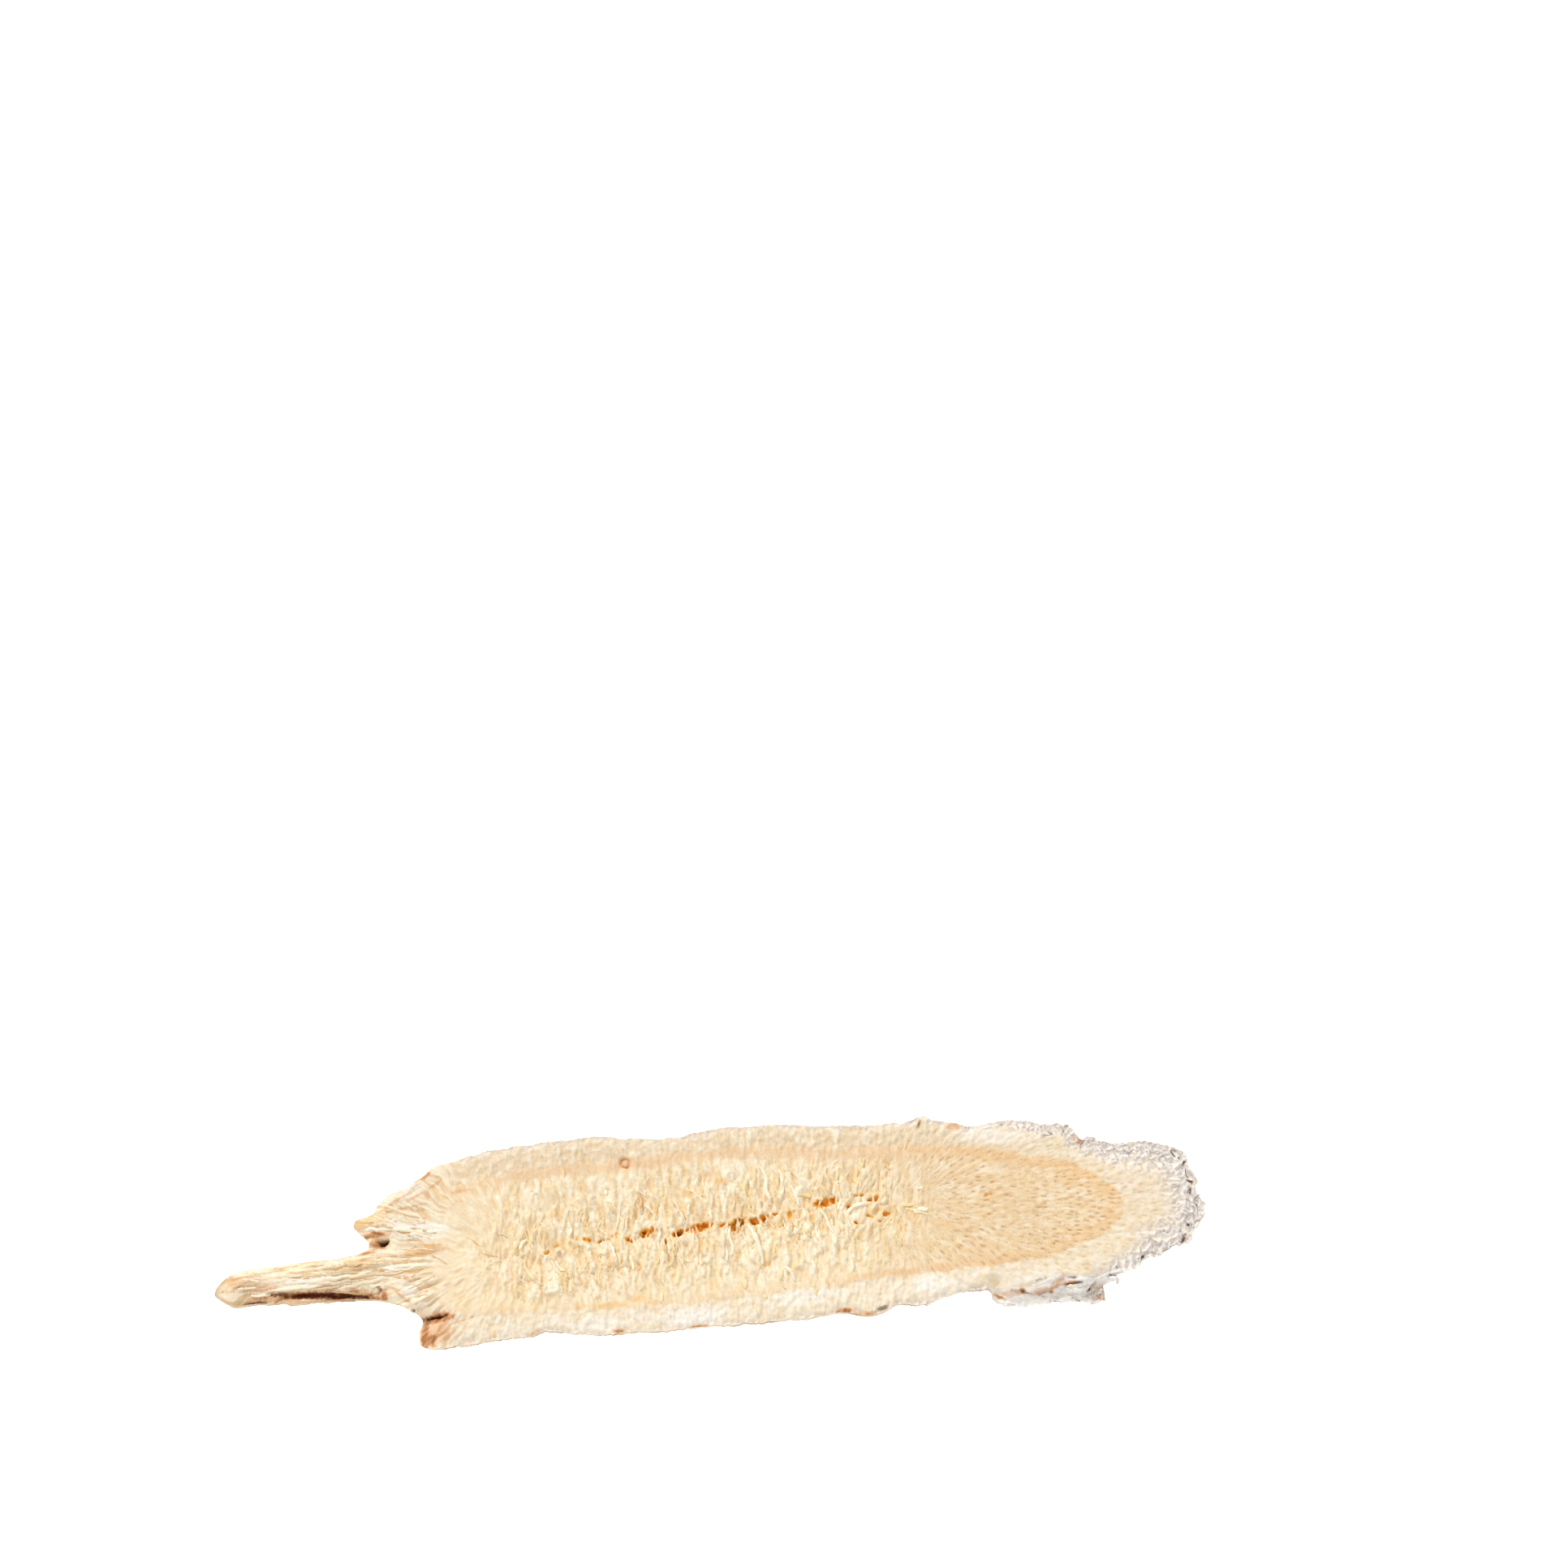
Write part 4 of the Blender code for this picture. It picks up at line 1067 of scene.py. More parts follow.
class RootColours(bpy.types.PropertyGroup):
    """Colours of the slice, in linear light."""

    wood: colour_property("Wood", "The wood beside the heart crack", (0.94, 0.83, 0.62))
    wood_tan: colour_property("Tan wood", "The wood towards the blunt end", (0.83, 0.65, 0.42))
    wood_dull: colour_property("Dull wood", "The duller wood towards the far rim", (0.78, 0.63, 0.44))
    wood_yellow: colour_property("Yellow wood", "Yellower patches of the wood", (0.92, 0.77, 0.46))
    cambium: colour_property("Cambium", "The orange ring between wood and cortex", (0.85, 0.58, 0.31))
    band: colour_property("Cambium band", "The cambium's smooth band on the far side", (0.80, 0.58, 0.38))
    cortex: colour_property("Cortex", "The pale layer outside the wood", (0.92, 0.86, 0.74))
    cortex_tan: colour_property("Tan cortex", "Darker patches of the cortex", (0.88, 0.78, 0.60))
    cortex_dull: colour_property("Dull cortex", "The duller cortex along the far rim", (0.76, 0.66, 0.51))
    cork: colour_property("Cork", "The white and grey cork of the rim", (0.91, 0.89, 0.89))
    # painted shade: the grey-lilac of shade in the cork's cracks, also the grey of the cork's mottle and
    # flakes
    crevice: colour_property("Crevice", "The purple grey cracks of the cork", (0.48, 0.42, 0.41))
    crown: colour_property("Crown", "The fibrous crown end and the rootlet", (0.82, 0.64, 0.43))
    fibre: colour_property("Fibre", "Fresh torn fibres", (0.98, 0.94, 0.80))
    rootlet: colour_property("Rootlet", "The greyer rootlet", (0.64, 0.46, 0.27))
    thread: colour_property("Thread", "The rootlet's threads", (0.80, 0.60, 0.36))
    # painted glow: tint of the emission that stands in for light coming through the fibres
    glow: colour_property("Glow", "Tint of the light that comes through the fibres", (1.0, 0.86, 0.62))
    flake: colour_property("Flake", "White flakes of cork", (0.96, 0.95, 0.93))
    # painted shade: the warm tan of the shade between fibres, also used for random darker flecks and streaks
    shadow_tan: colour_property("Deep wood", "The wood between the fibres", (0.82, 0.58, 0.34))
    pore: colour_property("Pores", "The lens-shaped pores", (0.56, 0.31, 0.14))
    amber: colour_property("Amber", "Amber patches of the wood", (0.87, 0.55, 0.22))
    # painted shade: the warm orange that the crack's pits take on in shade
    hollow: colour_property("Hollow", "The orange wood in the crack's pits", (0.88, 0.45, 0.075))
    # painted shade: the dark brown at the bottom of the deepest pits
    deep: colour_property("Deep hollow", "The bottom of the deepest pits", (0.36, 0.10, 0.012))
    streak: colour_property("Streaks", "Darker threads of the crown end", (0.66, 0.42, 0.28))
    # painted shade: near black for the shade in holes, grooves and slits; also the real dark marks and the
    # darkest cork flakes
    dark: colour_property("Dark", "The darkest holes and grooves", (0.075, 0.014, 0.006))
    # brown stains, also painted shade in the ledge's trough and along the rootlet's underside, and brown
    # crown fibres
    stain: colour_property("Stain", "Brown stains near the bark", (0.36, 0.12, 0.035))
    # the pale edges of the brown stains and of the painted shade
    stain_pale: colour_property("Pale stain", "The edges of the brown stains", (0.74, 0.44, 0.24))
    bark: colour_property("Bark", "The bark around the slice", (0.42, 0.26, 0.14))
    bark_dark: colour_property("Dark bark", "The bark's wrinkles", (0.24, 0.12, 0.055))
    bark_pale: colour_property("Pale bark", "Where the bark is worn pale", (0.54, 0.41, 0.27))
    bark_edge: colour_property("Bark edge", "The pale upper edge of the bark", (0.84, 0.72, 0.56))


class RootStage(bpy.types.PropertyGroup):
    """The floor, the lights and the camera."""

    sun_strength: FloatProperty(name="Sun strength", description="Strength of the main light", default=1.55)
    sky_strength: FloatProperty(name="Sky strength", description="Strength of the sky's light", default=0.62)
    sky_colour: colour_property("Sky", "The warm light from all around", (1.0, 0.94, 0.86))
    sun_softness: angle_property("Sun softness", "How wide the main light looks", 22.0)
    sun_elevation: angle_property("Sun elevation", "Height of the main light", 42.0)
    sun_azimuth: angle_property("Sun azimuth", "Direction of the main light, from u", 125.0)
    floor_glow: FloatProperty(
        name="Floor glow", description="Light from the pale floor itself, as of a light table", default=0.8
    )
    floor_colour: colour_property("Floor", "The pale floor", (0.93, 0.93, 0.93))


class ROOT_OT_cut_face(bpy.types.Operator):
    """Builds the upper cut face of the slice"""

    bl_idname = "root.cut_face"
    bl_label = "Cut face"

    SEED = 5
    CLEAR_OF_RIM = 0.24

    def execute(self, context):
        shape = context.scene.root_shape
        edge, out = fine_rim(shape)
        inset = edge - out * SKIN_INSET
        places, faces = filled(inset, shape.face_spacing / MM, self.SEED, self.CLEAR_OF_RIM)
        site = Site(*places.T)
        face = Face(site, shape)
        made = piece("cut_face", to_scene(site.u, site.v, top_height(site, face)), faces)
        paint_face(made, site, face)
        made.data.materials.append(cut_wood(context.scene.root_colours))
        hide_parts(SLICE_NODE)
        return {"FINISHED"}


class ROOT_OT_bark(bpy.types.Operator):
    """Builds the bark around the slice and its underside"""

    bl_idname = "root.bark"
    bl_label = "Bark and underside"

    SEED = 6
    CLEAR_OF_RIM = 0.62
    RINGS = 22
    TUCK = 0.42  # how much further in the bark ends below than above
    LOW_INSET = 0.1  # how far inside the rim the bark ends below where it isn't tucked in
    LEAST_WALL = 0.3  # the bark's least height
    # Depth, length, height, slant and seed
    WRINKLES = [(0.09, 5.0, 0.55, 0.25, 51), (0.05, 1.1, 0.3, 0.0, 52)]

    def wall(self, shape):
        """The rings of points around the slice, and the outline in which they end below."""
        edge, out = fine_rim(shape)
        inset = edge - out * SKIN_INSET
        top_site = Site(*inset.T)
        top = top_height(top_site, Face(top_site, shape))
        tuck = self.TUCK * (1 - 0.6 * crown_share(edge[:, 0])) * ease(49.5, 44.0, edge[:, 0])
        low_edge = edge - out * (self.LOW_INSET + tuck)[:, None]
        low_site = Site(*low_edge.T)
        low = np.minimum(under_height(low_site, shape), top - self.LEAST_WALL)
        along = np.concatenate([[0.0], np.cumsum(np.linalg.norm(np.diff(edge, axis=0), axis=1))])
        rings = []
        for number in range(self.RINGS + 1):
            share = number / self.RINGS
            height = mixed(top, low, share)
            swell = math.sin(math.pi * share) ** 0.6
            wrinkle = 0
            for depth, length, rise, slant, seed in self.WRINKLES:
                wrinkle = wrinkle + depth * noise(along / length + height * slant, height / rise, seed)
            reach = mixed(-SKIN_INSET, -self.LOW_INSET - tuck, share)
            reach = reach + swell * (SKIN_INSET + wrinkle) * (1 - 0.5 * share)
            ring = edge + out * reach[:, None]
            rings.append(np.column_stack([ring, height]))
        return rings, low_edge

    def underside(self, low_edge, shape):
        """The points inside the lowest ring, and the triangles between them and that ring."""
        places, faces = filled(low_edge, shape.under_spacing / MM, self.SEED, self.CLEAR_OF_RIM)
        site = Site(*places.T)
        lined = {tuple(place): number for number, place in enumerate(low_edge.tolist())}
        first = self.RINGS * len(low_edge)
        spare = first + len(low_edge)
        numbers = np.zeros(len(places), int)
        fresh = []
        for number, place in enumerate(places.tolist()):
            on_rim = lined.get(tuple(place))
            if on_rim is None:
                numbers[number] = spare + len(fresh)
                fresh.append(number)
            else:
                numbers[number] = first + on_rim
        points = np.column_stack([site.u, site.v, under_height(site, shape)])[fresh]
        return points, numbers[faces][:, ::-1]

    def execute(self, context):
        shape = context.scene.root_shape
        rings, low_edge = self.wall(shape)
        count = len(low_edge)
        wall_faces = []
        for number in range(self.RINGS):
            start = np.arange(count) + number * count
            ahead = np.roll(np.arange(count), -1) + number * count
            wall_faces.append(np.stack([start, start + count, ahead + count, ahead], axis=1))
        under_points, under_faces = self.underside(low_edge, shape)
        points = np.concatenate([*rings, under_points])
        all_faces = [*np.concatenate(wall_faces).tolist(), *under_faces.tolist()]
        made = piece("bark_and_underside", to_scene(*points.T), all_faces)
        u, v, _ = points.T
        site = Site(u, v)
        paint_face(made, site, Face(site, shape))
        depth = np.zeros(len(points))
        depth[: len(rings) * count] = np.repeat(np.linspace(0, 1, len(rings)), count)
        paint(made, cork_end=ease(*GREY_BARK_ZONE, u), edge=ease(0.3, 0.08, depth))
        colours = context.scene.root_colours
        made.data.materials.append(bark_skin(colours))
        made.data.materials.append(bpy.data.materials.get("cut_wood") or cut_wood(colours))
        kinds = np.zeros(len(made.data.polygons), np.int32)
        kinds[self.RINGS * count :] = 1
        made.data.polygons.foreach_set("material_index", kinds)
        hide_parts(SLICE_NODE)
        return {"FINISHED"}


def softened_row(values):
    """A row of numbers, each the mean of itself and its neighbours."""
    padded = np.pad(values, 2, mode="edge")
    return sum(padded[n : n + len(values)] for n in range(5)) / 5


def strand_parts(paths, widths, tones, taper, flatness=0.45, sides=6):
    """Points, faces and tones of thin fibres along paths; taper is the share of the width at each point."""
    count, points, _ = paths.shape
    ahead = np.gradient(paths, axis=1)
    ahead /= np.linalg.norm(ahead, axis=2)[..., None] + 1e-9
    side = np.cross(ahead, (0.0, 0.0, 1.0))
    side /= np.linalg.norm(side, axis=2)[..., None] + 1e-9
    up = np.cross(side, ahead)
    angles = np.arange(sides) * math.tau / sides
    radius = widths[:, None] / 2 * taper
    ring = side[:, :, None] * np.cos(angles)[:, None] + flatness * up[:, :, None] * np.sin(angles)[:, None]
    verts = paths[:, :, None] + ring * radius[:, :, None, None]
    first = (np.arange(count) * points * sides)[:, None, None]
    rows = (np.arange(points - 1) * sides)[None, :, None]
    a = first + rows + np.arange(sides)[None, None]
    b = first + rows + np.roll(np.arange(sides), -1)[None, None]
    faces = np.stack([a, b, b + sides, a + sides], axis=-1).reshape(-1, 4).tolist()
    for start in (np.arange(count) * points * sides).tolist():
        faces.append(list(range(start + sides - 1, start - 1, -1)))
        end = start + (points - 1) * sides
        faces.append(list(range(end, end + sides)))
    return verts.reshape(-1, 3), faces, np.repeat(tones, points * sides)


def joined_strands(name, parts):
    """One piece from several sets of fibres."""
    points, faces, tones = [], [], []
    count = 0
    for own_points, own_faces, own_tones in parts:
        points.append(own_points)
        tones.append(own_tones)
        faces.extend([[number + count for number in face] for face in own_faces])
        count += len(own_points)
    made = piece(name, to_scene(*np.concatenate(points).T), faces)
    paint(made, tone=np.concatenate(tones))
    return made


def ray_headings(site):
    """The direction of the rays, away from the heart, at each place."""
    nearby, above = Site(site.u + 0.02, site.v), Site(site.u, site.v + 0.02)
    return np.arctan2(above.reach - site.reach, nearby.reach - site.reach)


def laid_paths(rng, starts, headings, lengths, curl, rise, shape, steps=8):
    """Paths over the upper face: they start in it, wander and bend by curl, and rise to their far ends."""
    count = len(headings)
    bends = rng.normal(0.0, curl, count)
    step = lengths / (steps - 1)
    path_u, path_v = [starts[0]], [starts[1]]
    for number in range(steps - 1):
        angle = headings + bends * number / (steps - 1) + rng.normal(0.0, 0.2 * curl, count)
        path_u.append(path_u[-1] + np.cos(angle) * step)
        path_v.append(path_v[-1] + np.sin(angle) * step)
    path_u, path_v = np.stack(path_u, axis=1), np.stack(path_v, axis=1)
    ground_site = Site(path_u.ravel(), path_v.ravel())
    ground = top_height(ground_site, Face(ground_site, shape)).reshape(path_u.shape)
    level = np.maximum(ground, np.median(ground, axis=1)[:, None] - 0.1)
    share = np.linspace(0, 1, steps)
    lift = (share**1.5 * 1.2 - 0.12) * rng.uniform(0.0, rise, count)[:, None]
    return np.stack([path_u, path_v, level + lift], axis=-1)


def ragged_taper(rng, count, steps=8):
    """The share of its width that each fibre has along its path: pointed ends and an uneven middle."""
    share = np.linspace(0, 1, steps)
    taper = np.sin((0.06 + 0.9 * share) * math.pi) ** 0.45 * (1 + 0.2 * rng.normal(size=(count, steps)))
    return np.clip(taper, 0.08, 1.4)


def drawn_strands(shapes, rng, shape, steps=18):
    """Strands that lie over the face along given points; each is points, width, flatness and tone."""
    strands = []
    for points, width, flatness, tone in shapes:
        spots = np.array(points)
        share = np.linspace(0, len(spots) - 1, steps)
        path = np.stack([np.interp(share, np.arange(len(spots)), column) for column in spots.T], axis=1)
        path = np.stack([softened_row(column) for column in path.T], axis=1)
        site = Site(path[:, 0], path[:, 1])
        path[:, 2] += softened_row(top_height(site, Face(site, shape)))
        wave = np.clip(1 + 0.15 * rng.normal(size=steps), 0.6, 1.3)
        taper = np.sin(np.linspace(0.06, 0.94, steps) * math.pi) ** 0.5 * wave
        strands.append(strand_parts(path[None], np.array([width]), np.array([tone]), taper[None], flatness))
    return strands


class ROOT_OT_torn_fibres(bpy.types.Operator):
    """Lays torn fibres over the wood around the heart crack"""

    bl_idname = "root.torn_fibres"
    bl_label = "Torn fibres"

    SEED = 11
    TRIES = 30000
    AREA = ((-26.0, 24.0), (-9.0, 10.5))  # where the fibres may start, in u and in v
    FADE_ZONE = (-26.0, -12.0)  # fewer of them start towards the crown end
    SPREAD = 0.25
    LENGTHS = (0.9, 2.2)
    CURL, RISE = 0.7, 0.06
    FLATNESS = 0.2
    # The largest white shreds: points as u, v and height over the face, width, flatness and tone
    SHREDS = [
        ([(3.2, 1.2, 0.1), (4.1, -0.3, 0.3), (4.6, -1.8, 0.3), (4.8, -3.2, 0.05)], 0.50, 0.35, 0.0),
        ([(4.4, 6.8, 0.0), (5.2, 5.6, 0.2), (5.0, 4.4, 0.2), (5.6, 3.2, 0.0)], 0.42, 0.35, 0.0),
        ([(6.4, 6.4, 0.0), (6.7, 5.2, 0.2), (6.8, 4.0, 0.0)], 0.36, 0.35, 0.05),
        ([(12.8, 1.6, 0.0), (13.6, 2.7, 0.2), (14.8, 3.0, 0.25), (15.6, 3.2, 0.0)], 0.40, 0.35, 0.05),
        ([(6.8, -3.2, 0.0), (7.6, -3.7, 0.2), (8.0, -4.8, 0.0)], 0.38, 0.35, 0.0),
        ([(9.6, -2.6, 0.0), (9.9, -3.3, 0.2), (9.8, -4.0, 0.0)], 0.42, 0.4, 0.0),
        ([(13.5, -2.6, 0.0), (13.7, -3.3, 0.2), (13.5, -3.9, 0.0)], 0.36, 0.4, 0.0),
        ([(10.4, 2.4, 0.0), (11.0, 1.8, 0.2), (11.3, 0.8, 0.2), (11.9, 0.0, 0.0)], 0.34, 0.35, 0.05),
        ([(-0.6, 2.6, 0.0), (-0.3, 1.7, 0.2), (-0.5, 0.6, 0.2)], 0.32, 0.35, 0.1),
        ([(-5.6, 1.0, 0.1), (-5.3, 0.2, 0.2), (-5.6, -0.8, 0.1), (-5.4, -1.6, 0.0)], 0.34, 0.35, 0.05),
        ([(-19.2, -1.6, 0.0), (-18.9, -0.8, 0.2), (-18.2, -0.3, 0.0)], 0.36, 0.35, 0.0),
        ([(-14.4, 1.2, 0.0), (-14.1, 0.3, 0.2), (-14.5, -0.6, 0.1)], 0.36, 0.35, 0.0),
        ([(1.6, 0.9, 0.0), (1.4, -0.2, 0.25), (1.9, -1.3, 0.2), (1.7, -2.2, 0.0)], 0.36, 0.35, 0.0),
        ([(12.2, 4.2, 0.0), (12.5, 3.3, 0.2), (12.1, 2.3, 0.2)], 0.34, 0.35, 0.0),
    ]

    def execute(self, context):
        shape = context.scene.root_shape
        rng = np.random.default_rng(self.SEED)
        site = Site(*[rng.uniform(*span, self.TRIES) for span in self.AREA])
        chance = site.torn * site.wood * (0.08 + 0.92 * ease(*FIBRE_ZONE, site.reach))
        chance = chance * ease(*self.FADE_ZONE, site.u)
        chosen = np.flatnonzero(rng.random(site.u.size) < chance)[: shape.fibre_count]
        site = Site(site.u[chosen], site.v[chosen])
        count = len(chosen)
        headings = ray_headings(site) + rng.normal(0.0, self.SPREAD, count)
        lengths = rng.uniform(*self.LENGTHS, count) * (0.6 + 0.8 * ease(4.0, 0.5, site.reach))
        paths = laid_paths(rng, (site.u, site.v), headings, lengths, self.CURL, self.RISE, shape)
        widths = shape.fibre_width / MM * (0.4 + 1.2 * rng.random(count) ** 2)
        tones = rng.random(count)
        strands = [strand_parts(paths, widths, tones, ragged_taper(rng, count), self.FLATNESS)]
        strands += drawn_strands(self.SHREDS, rng, shape)
        made = joined_strands("torn_fibres", strands)
        made.data.materials.append(loose_fibre(context.scene.root_colours))
        return {"FINISHED"}


class ROOT_OT_crown_fibres(bpy.types.Operator):
    """Lays long fibres along the rootlet and out of the crown end"""

    bl_idname = "root.crown_fibres"
    bl_label = "Crown fibres"

    SEED = 12
    TRIES = 9000
    AREA = ((-48.5, -27.0), (-9.0, 6.0))  # where the fibres may start, in u and in v
    PATH_POINTS = 10
    GROOVE_START, GROOVE_END = (-45.0, -6.1), (-32.0, -6.1)
    GROOVE_ROOM = 0.75  # how far the fibres start from the groove's line
    HOLE, HOLE_ROOM = (-32.8, -1.0), 1.4
    LIE = 0.07  # the rootlet's direction
    SPREAD = 0.06
    LENGTHS = (1.2, 4.5)
    CURL, RISE = 0.3, 0.05
    FLATNESS = 0.3
    ROOTLET_START = -34.0  # the rootlet's fibres are those that start further left
    # The plainest threads and chips: points as u, v and height over the face, width, flatness and tone
    THREADS = [
        ([(-45.6, -6.2, 0.1), (-44.6, -6.15, 0.15), (-43.6, -6.0, 0.05)], 0.34, 0.4, 0.0),
        ([(-44.0, -5.7, 0.0), (-42.0, -5.5, 0.1), (-40.0, -5.3, 0.1), (-38.4, -5.1, 0.0)], 0.40, 0.35, 0.0),
        ([(-42.4, -6.65, 0.0), (-40.4, -6.7, 0.1), (-38.6, -6.55, 0.05)], 0.26, 0.4, 0.55),
        ([(-39.0, -6.5, 0.0), (-37.2, -6.5, 0.1), (-35.4, -6.5, 0.0)], 0.22, 0.4, 0.7),
        ([(-38.0, -5.7, 0.0), (-36.0, -5.75, 0.1), (-34.2, -5.9, 0.0)], 0.2, 0.4, 0.4),
        ([(-44.8, -3.4, 0.0), (-44.3, -3.35, 0.15), (-43.8, -3.3, 0.0)], 0.34, 0.5, 0.0),
        ([(-33.6, 0.4, 0.0), (-31.6, 0.5, 0.1), (-29.4, 0.3, 0.1), (-27.2, 0.2, 0.0)], 0.42, 0.3, 0.0),
        ([(-33.6, -3.45, 0.0), (-31.0, -3.2, 0.1), (-28.0, -2.9, 0.05)], 0.40, 0.3, 0.0),
    ]

    def execute(self, context):
        shape = context.scene.root_shape
        rng = np.random.default_rng(self.SEED)
        site = Site(*[rng.uniform(*span, self.TRIES) for span in self.AREA])
        on_groove = np.abs(site.v - self.GROOVE_START[1]) < self.GROOVE_ROOM
        on_groove &= (site.u > self.GROOVE_START[0]) & (site.u < self.GROOVE_END[0])
        by_hole = np.hypot(site.u - self.HOLE[0], site.v - self.HOLE[1]) < self.HOLE_ROOM
        fits = (site.gap > 0.5) & (site.crown > 0.6) & (site.u < -29.5) & ~on_groove & ~by_hole
        chosen = np.flatnonzero(fits)[: shape.crown_fibre_count]
        site = Site(site.u[chosen], site.v[chosen])
        count = len(chosen)
        rootlet = site.u < self.ROOTLET_START
        headings = np.where(rootlet, self.LIE, ray_headings(site) + math.pi)
        headings = headings + rng.normal(0.0, self.SPREAD, count)
        lengths = rng.uniform(*self.LENGTHS, count) * np.where(rootlet, 1.2, 0.8)
        starts = (site.u, site.v)
        paths = laid_paths(rng, starts, headings, lengths, self.CURL, self.RISE, shape, self.PATH_POINTS)
        ends = Site(paths[:, -1, 0], paths[:, -1, 1])
        inside = ends.gap > 0.2
        widths = shape.fibre_width / MM * rng.uniform(0.3, 0.85, count)
        brown = ease(-5.5, -6.2, site.v) * (site.u < -33.0)
        tones = np.clip(rng.random(count) * 0.55 + 0.5 * brown * rng.random(count), 0, 1)
        taper = ragged_taper(rng, count, self.PATH_POINTS)
        strands = [strand_parts(paths[inside], widths[inside], tones[inside], taper[inside], self.FLATNESS)]
        made = joined_strands("crown_fibres", strands + drawn_strands(self.THREADS, rng, shape))
        made.data.materials.append(crown_fibre(context.scene.root_colours))
        return {"FINISHED"}


class ROOT_OT_cork_flakes(bpy.types.Operator):
    """Scatters flakes of cork round the blunt end and curls bark over the ledge"""

    bl_idname = "root.cork_flakes"
    bl_label = "Cork flakes"

    SEED = 13
    SHARE = 0.4  # of the rim's points at the blunt end, how many bear a flake
    INSETS = (0.1, 1.5)
    SPREAD = 0.5
    LENGTHS = (0.5, 1.5)
    CURL, RISE = 1.1, 0.3
    FLATNESS = 0.3
    # The curls of bark at the ledge: points as u, v and height over the face, width, flatness and tone
    CURLS = [
        ([(31.2, -5.05, 0.0), (32.6, -4.75, 0.15), (33.6, -4.35, 0.2), (34.4, -3.9, 0.05)], 0.42, 0.35, 0.0),
        ([(34.6, -5.05, 0.05), (35.6, -5.35, 0.15), (36.5, -5.3, 0.2), (37.1, -4.8, 0.1)], 0.75, 0.3, 0.0),
        ([(35.3, -4.5, 0.1), (36.8, -4.5, 0.2), (38.0, -4.25, 0.3), (39.1, -3.75, 0.2)], 0.36, 0.5, 0.0),
        ([(38.9, -4.3, 0.2), (39.6, -4.25, 0.3), (39.9, -4.6, 0.2), (39.8, -4.9, 0.1)], 0.40, 0.5, 0.1),
        ([(36.8, -6.1, 0.0), (37.3, -5.7, 0.1), (37.7, -5.1, 0.1)], 0.22, 0.4, 0.0),
    ]

    def execute(self, context):
        shape = context.scene.root_shape
        rng = np.random.default_rng(self.SEED)
        edge, out = fine_rim(shape)
        u, v = edge.T
        blunt = ease(30.0, 40.0, u) + 0.3 * ease(27.0, 28.0, u) * (v < -4.5)
        chosen = np.flatnonzero(rng.random(len(edge)) < np.clip(blunt, 0, 1) * self.SHARE)
        inset = rng.uniform(*self.INSETS, len(chosen)) ** 1.3
        starts = edge[chosen] - out[chosen] * inset[:, None]
        count = len(chosen)
        lengths = rng.uniform(*self.LENGTHS, count)
        along = np.arctan2(out[chosen, 0], -out[chosen, 1])
        headings = along + rng.normal(0.0, self.SPREAD, count)
        paths = laid_paths(rng, starts.T, headings, lengths, self.CURL, self.RISE, shape)
        kept = Site(paths[:, -1, 0], paths[:, -1, 1]).gap > -0.1
        tones = rng.random(count) ** 2.2
        widths = rng.uniform(0.08, 0.3, count) * (1 - 0.65 * tones)
        taper = np.clip(ragged_taper(rng, count) ** 0.6, 0.1, 1.2)
        strands = [strand_parts(paths[kept], widths[kept], tones[kept], taper[kept], self.FLATNESS)]
        made = joined_strands("cork_flakes", strands + drawn_strands(self.CURLS, rng, shape))
        made.data.materials.append(cork_flake(context.scene.root_colours))
        return {"FINISHED"}


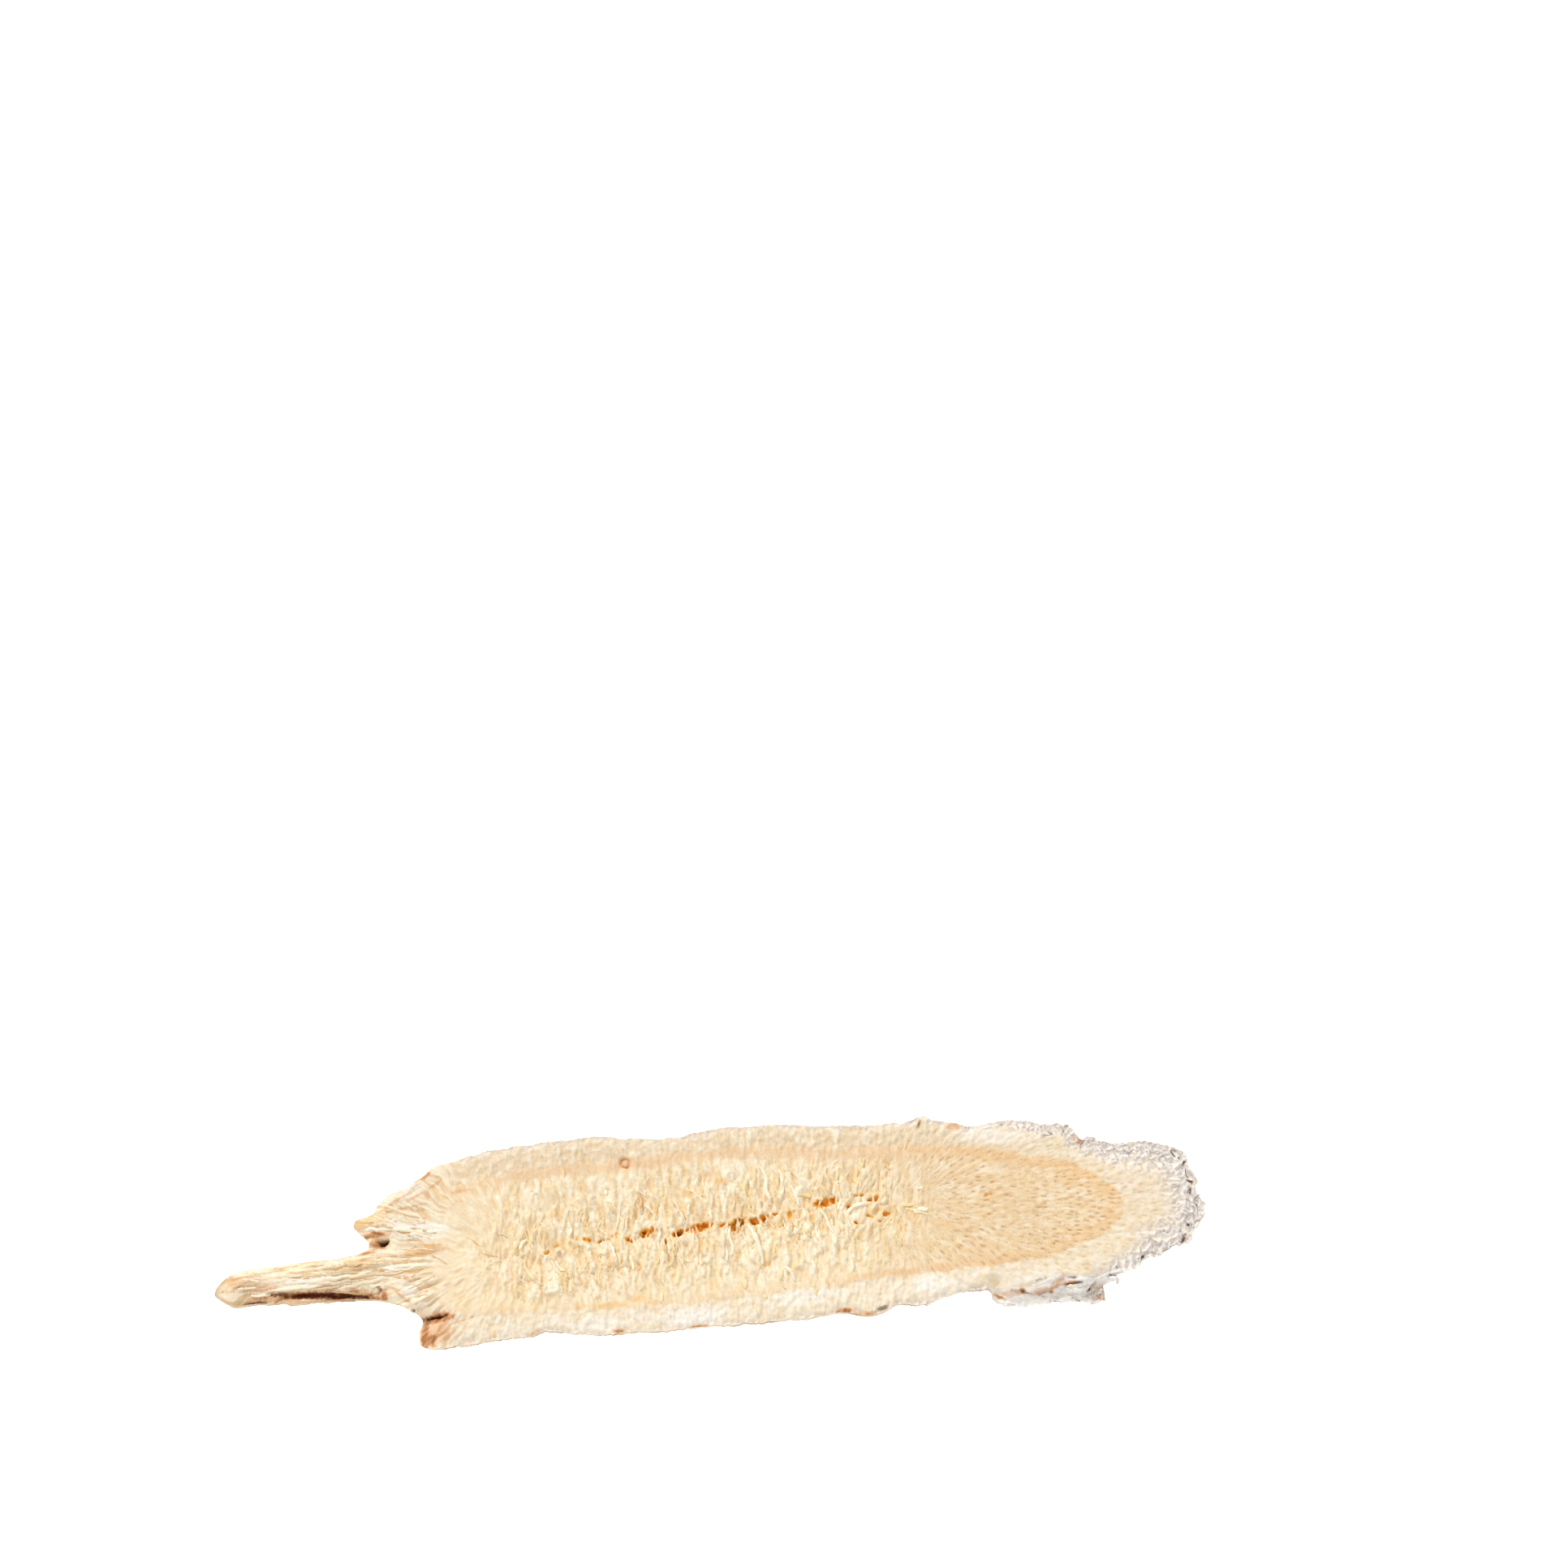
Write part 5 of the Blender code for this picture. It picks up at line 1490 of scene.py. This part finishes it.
class ROOT_OT_stage(bpy.types.Operator):
    """Adds the floor, the lights and the camera"""

    bl_idname = "root.stage"
    bl_label = "Stage"

    FLOOR_REACH = 3.0
    FLOOR_ROUGHNESS, FLOOR_SHEEN = 0.9, 0.1
    WHITE = (1.0, 1.0, 1.0, 1.0)
    SENSOR_WIDTH = 36.0
    CLIP = (0.01, 20.0)

    def execute(self, context):
        stage = context.scene.root_stage
        self.add_floor(stage)
        self.add_lights(stage, context.scene)
        self.add_camera(context.scene)
        context.scene.view_settings.view_transform = "Standard"
        context.scene.view_settings.look = "None"
        return {"FINISHED"}

    def add_floor(self, stage):
        grid = bmesh.new()
        bmesh.ops.create_grid(grid, x_segments=1, y_segments=1, size=self.FLOOR_REACH)
        mesh = bpy.data.meshes.new("floor")
        grid.to_mesh(mesh)
        grid.free()
        floor = bpy.data.objects.new("floor", mesh)
        looks = {
            "Base Color": rgba(stage.floor_colour), "Roughness": self.FLOOR_ROUGHNESS,
            "Specular IOR Level": self.FLOOR_SHEEN, "Emission Color": self.WHITE,
            "Emission Strength": stage.floor_glow,
        }
        mesh.materials.append(Finish("pale_floor").with_looks(looks))
        bpy.context.scene.collection.objects.link(floor)

    def add_lights(self, stage, scene):
        world = bpy.data.worlds.new("pale_sky")
        world.use_nodes = True
        background = world.node_tree.nodes["Background"]
        background.inputs["Color"].default_value = rgba(stage.sky_colour)
        background.inputs["Strength"].default_value = stage.sky_strength
        scene.world = world
        lamp = bpy.data.lights.new("window", "SUN")
        lamp.energy = stage.sun_strength
        lamp.angle = stage.sun_softness
        sun = bpy.data.objects.new("window", lamp)
        azimuth = stage.sun_azimuth - math.radians(LIE_DEG)
        flat = math.cos(stage.sun_elevation)
        towards = Vector((flat * math.cos(azimuth), flat * math.sin(azimuth), math.sin(stage.sun_elevation)))
        sun.rotation_euler = towards.to_track_quat("Z", "Y").to_euler()
        scene.collection.objects.link(sun)

    def add_camera(self, scene):
        """Looks down on the slice so that it stands in the picture as it does in the photograph."""
        ahead = Vector((0, math.cos(CAMERA_TILT), -math.sin(CAMERA_TILT)))
        up = Vector((0, math.sin(CAMERA_TILT), math.cos(CAMERA_TILT)))
        across, ahead_part, down_part = sight(0.0, 0.0)
        turn = Matrix.Rotation(-math.radians(LIE_DEG), 3, "Z")
        data = bpy.data.cameras.new("camera")
        data.sensor_width = self.SENSOR_WIDTH
        data.lens = FOCAL_PIXELS / PICTURE_WIDTH * data.sensor_width
        data.clip_start, data.clip_end = self.CLIP
        camera = bpy.data.objects.new("camera", data)
        eye = [-across / PIXELS_PER_MM, -ahead_part / PIXELS_PER_MM, FACE_HEIGHT + down_part / PIXELS_PER_MM]
        camera.location = to_part(*eye)
        axes = Matrix((Vector((1, 0, 0)), up, -ahead)).transposed()
        camera.rotation_euler = (turn @ axes).to_euler()
        scene.collection.objects.link(camera)
        scene.camera = camera


class ROOT_PT_panel(bpy.types.Panel):
    """The steps that build the slice, in their order"""

    bl_idname = "ROOT_PT_panel"
    bl_label = "Dried root slice"
    bl_space_type = "VIEW_3D"
    bl_region_type = "UI"
    bl_category = "Root"

    def draw(self, context):
        for step in STEPS:
            self.layout.operator(step.bl_idname)
        for group in (context.scene.root_shape, context.scene.root_colours, context.scene.root_stage):
            box = self.layout.box()
            for name in group.__annotations__:
                box.prop(group, name)


STEPS = [
    ROOT_OT_cut_face, ROOT_OT_bark, ROOT_OT_torn_fibres, ROOT_OT_crown_fibres, ROOT_OT_cork_flakes,
    ROOT_OT_stage,
]
GROUPS = {"root_shape": RootShape, "root_colours": RootColours, "root_stage": RootStage}
CLASSES = [*GROUPS.values(), *STEPS, ROOT_PT_panel]


def register():
    for kind in CLASSES:
        bpy.utils.register_class(kind)
    for name, group in GROUPS.items():
        setattr(bpy.types.Scene, name, PointerProperty(type=group))


def unregister():
    for name in GROUPS:
        delattr(bpy.types.Scene, name)
    for kind in reversed(CLASSES):
        bpy.utils.unregister_class(kind)


def main():
    register()
    bpy.ops.root.cut_face()
    bpy.ops.root.bark()
    bpy.ops.root.torn_fibres()
    bpy.ops.root.crown_fibres()
    bpy.ops.root.cork_flakes()
    bpy.ops.root.stage()


if __name__ == "__main__":
    main()
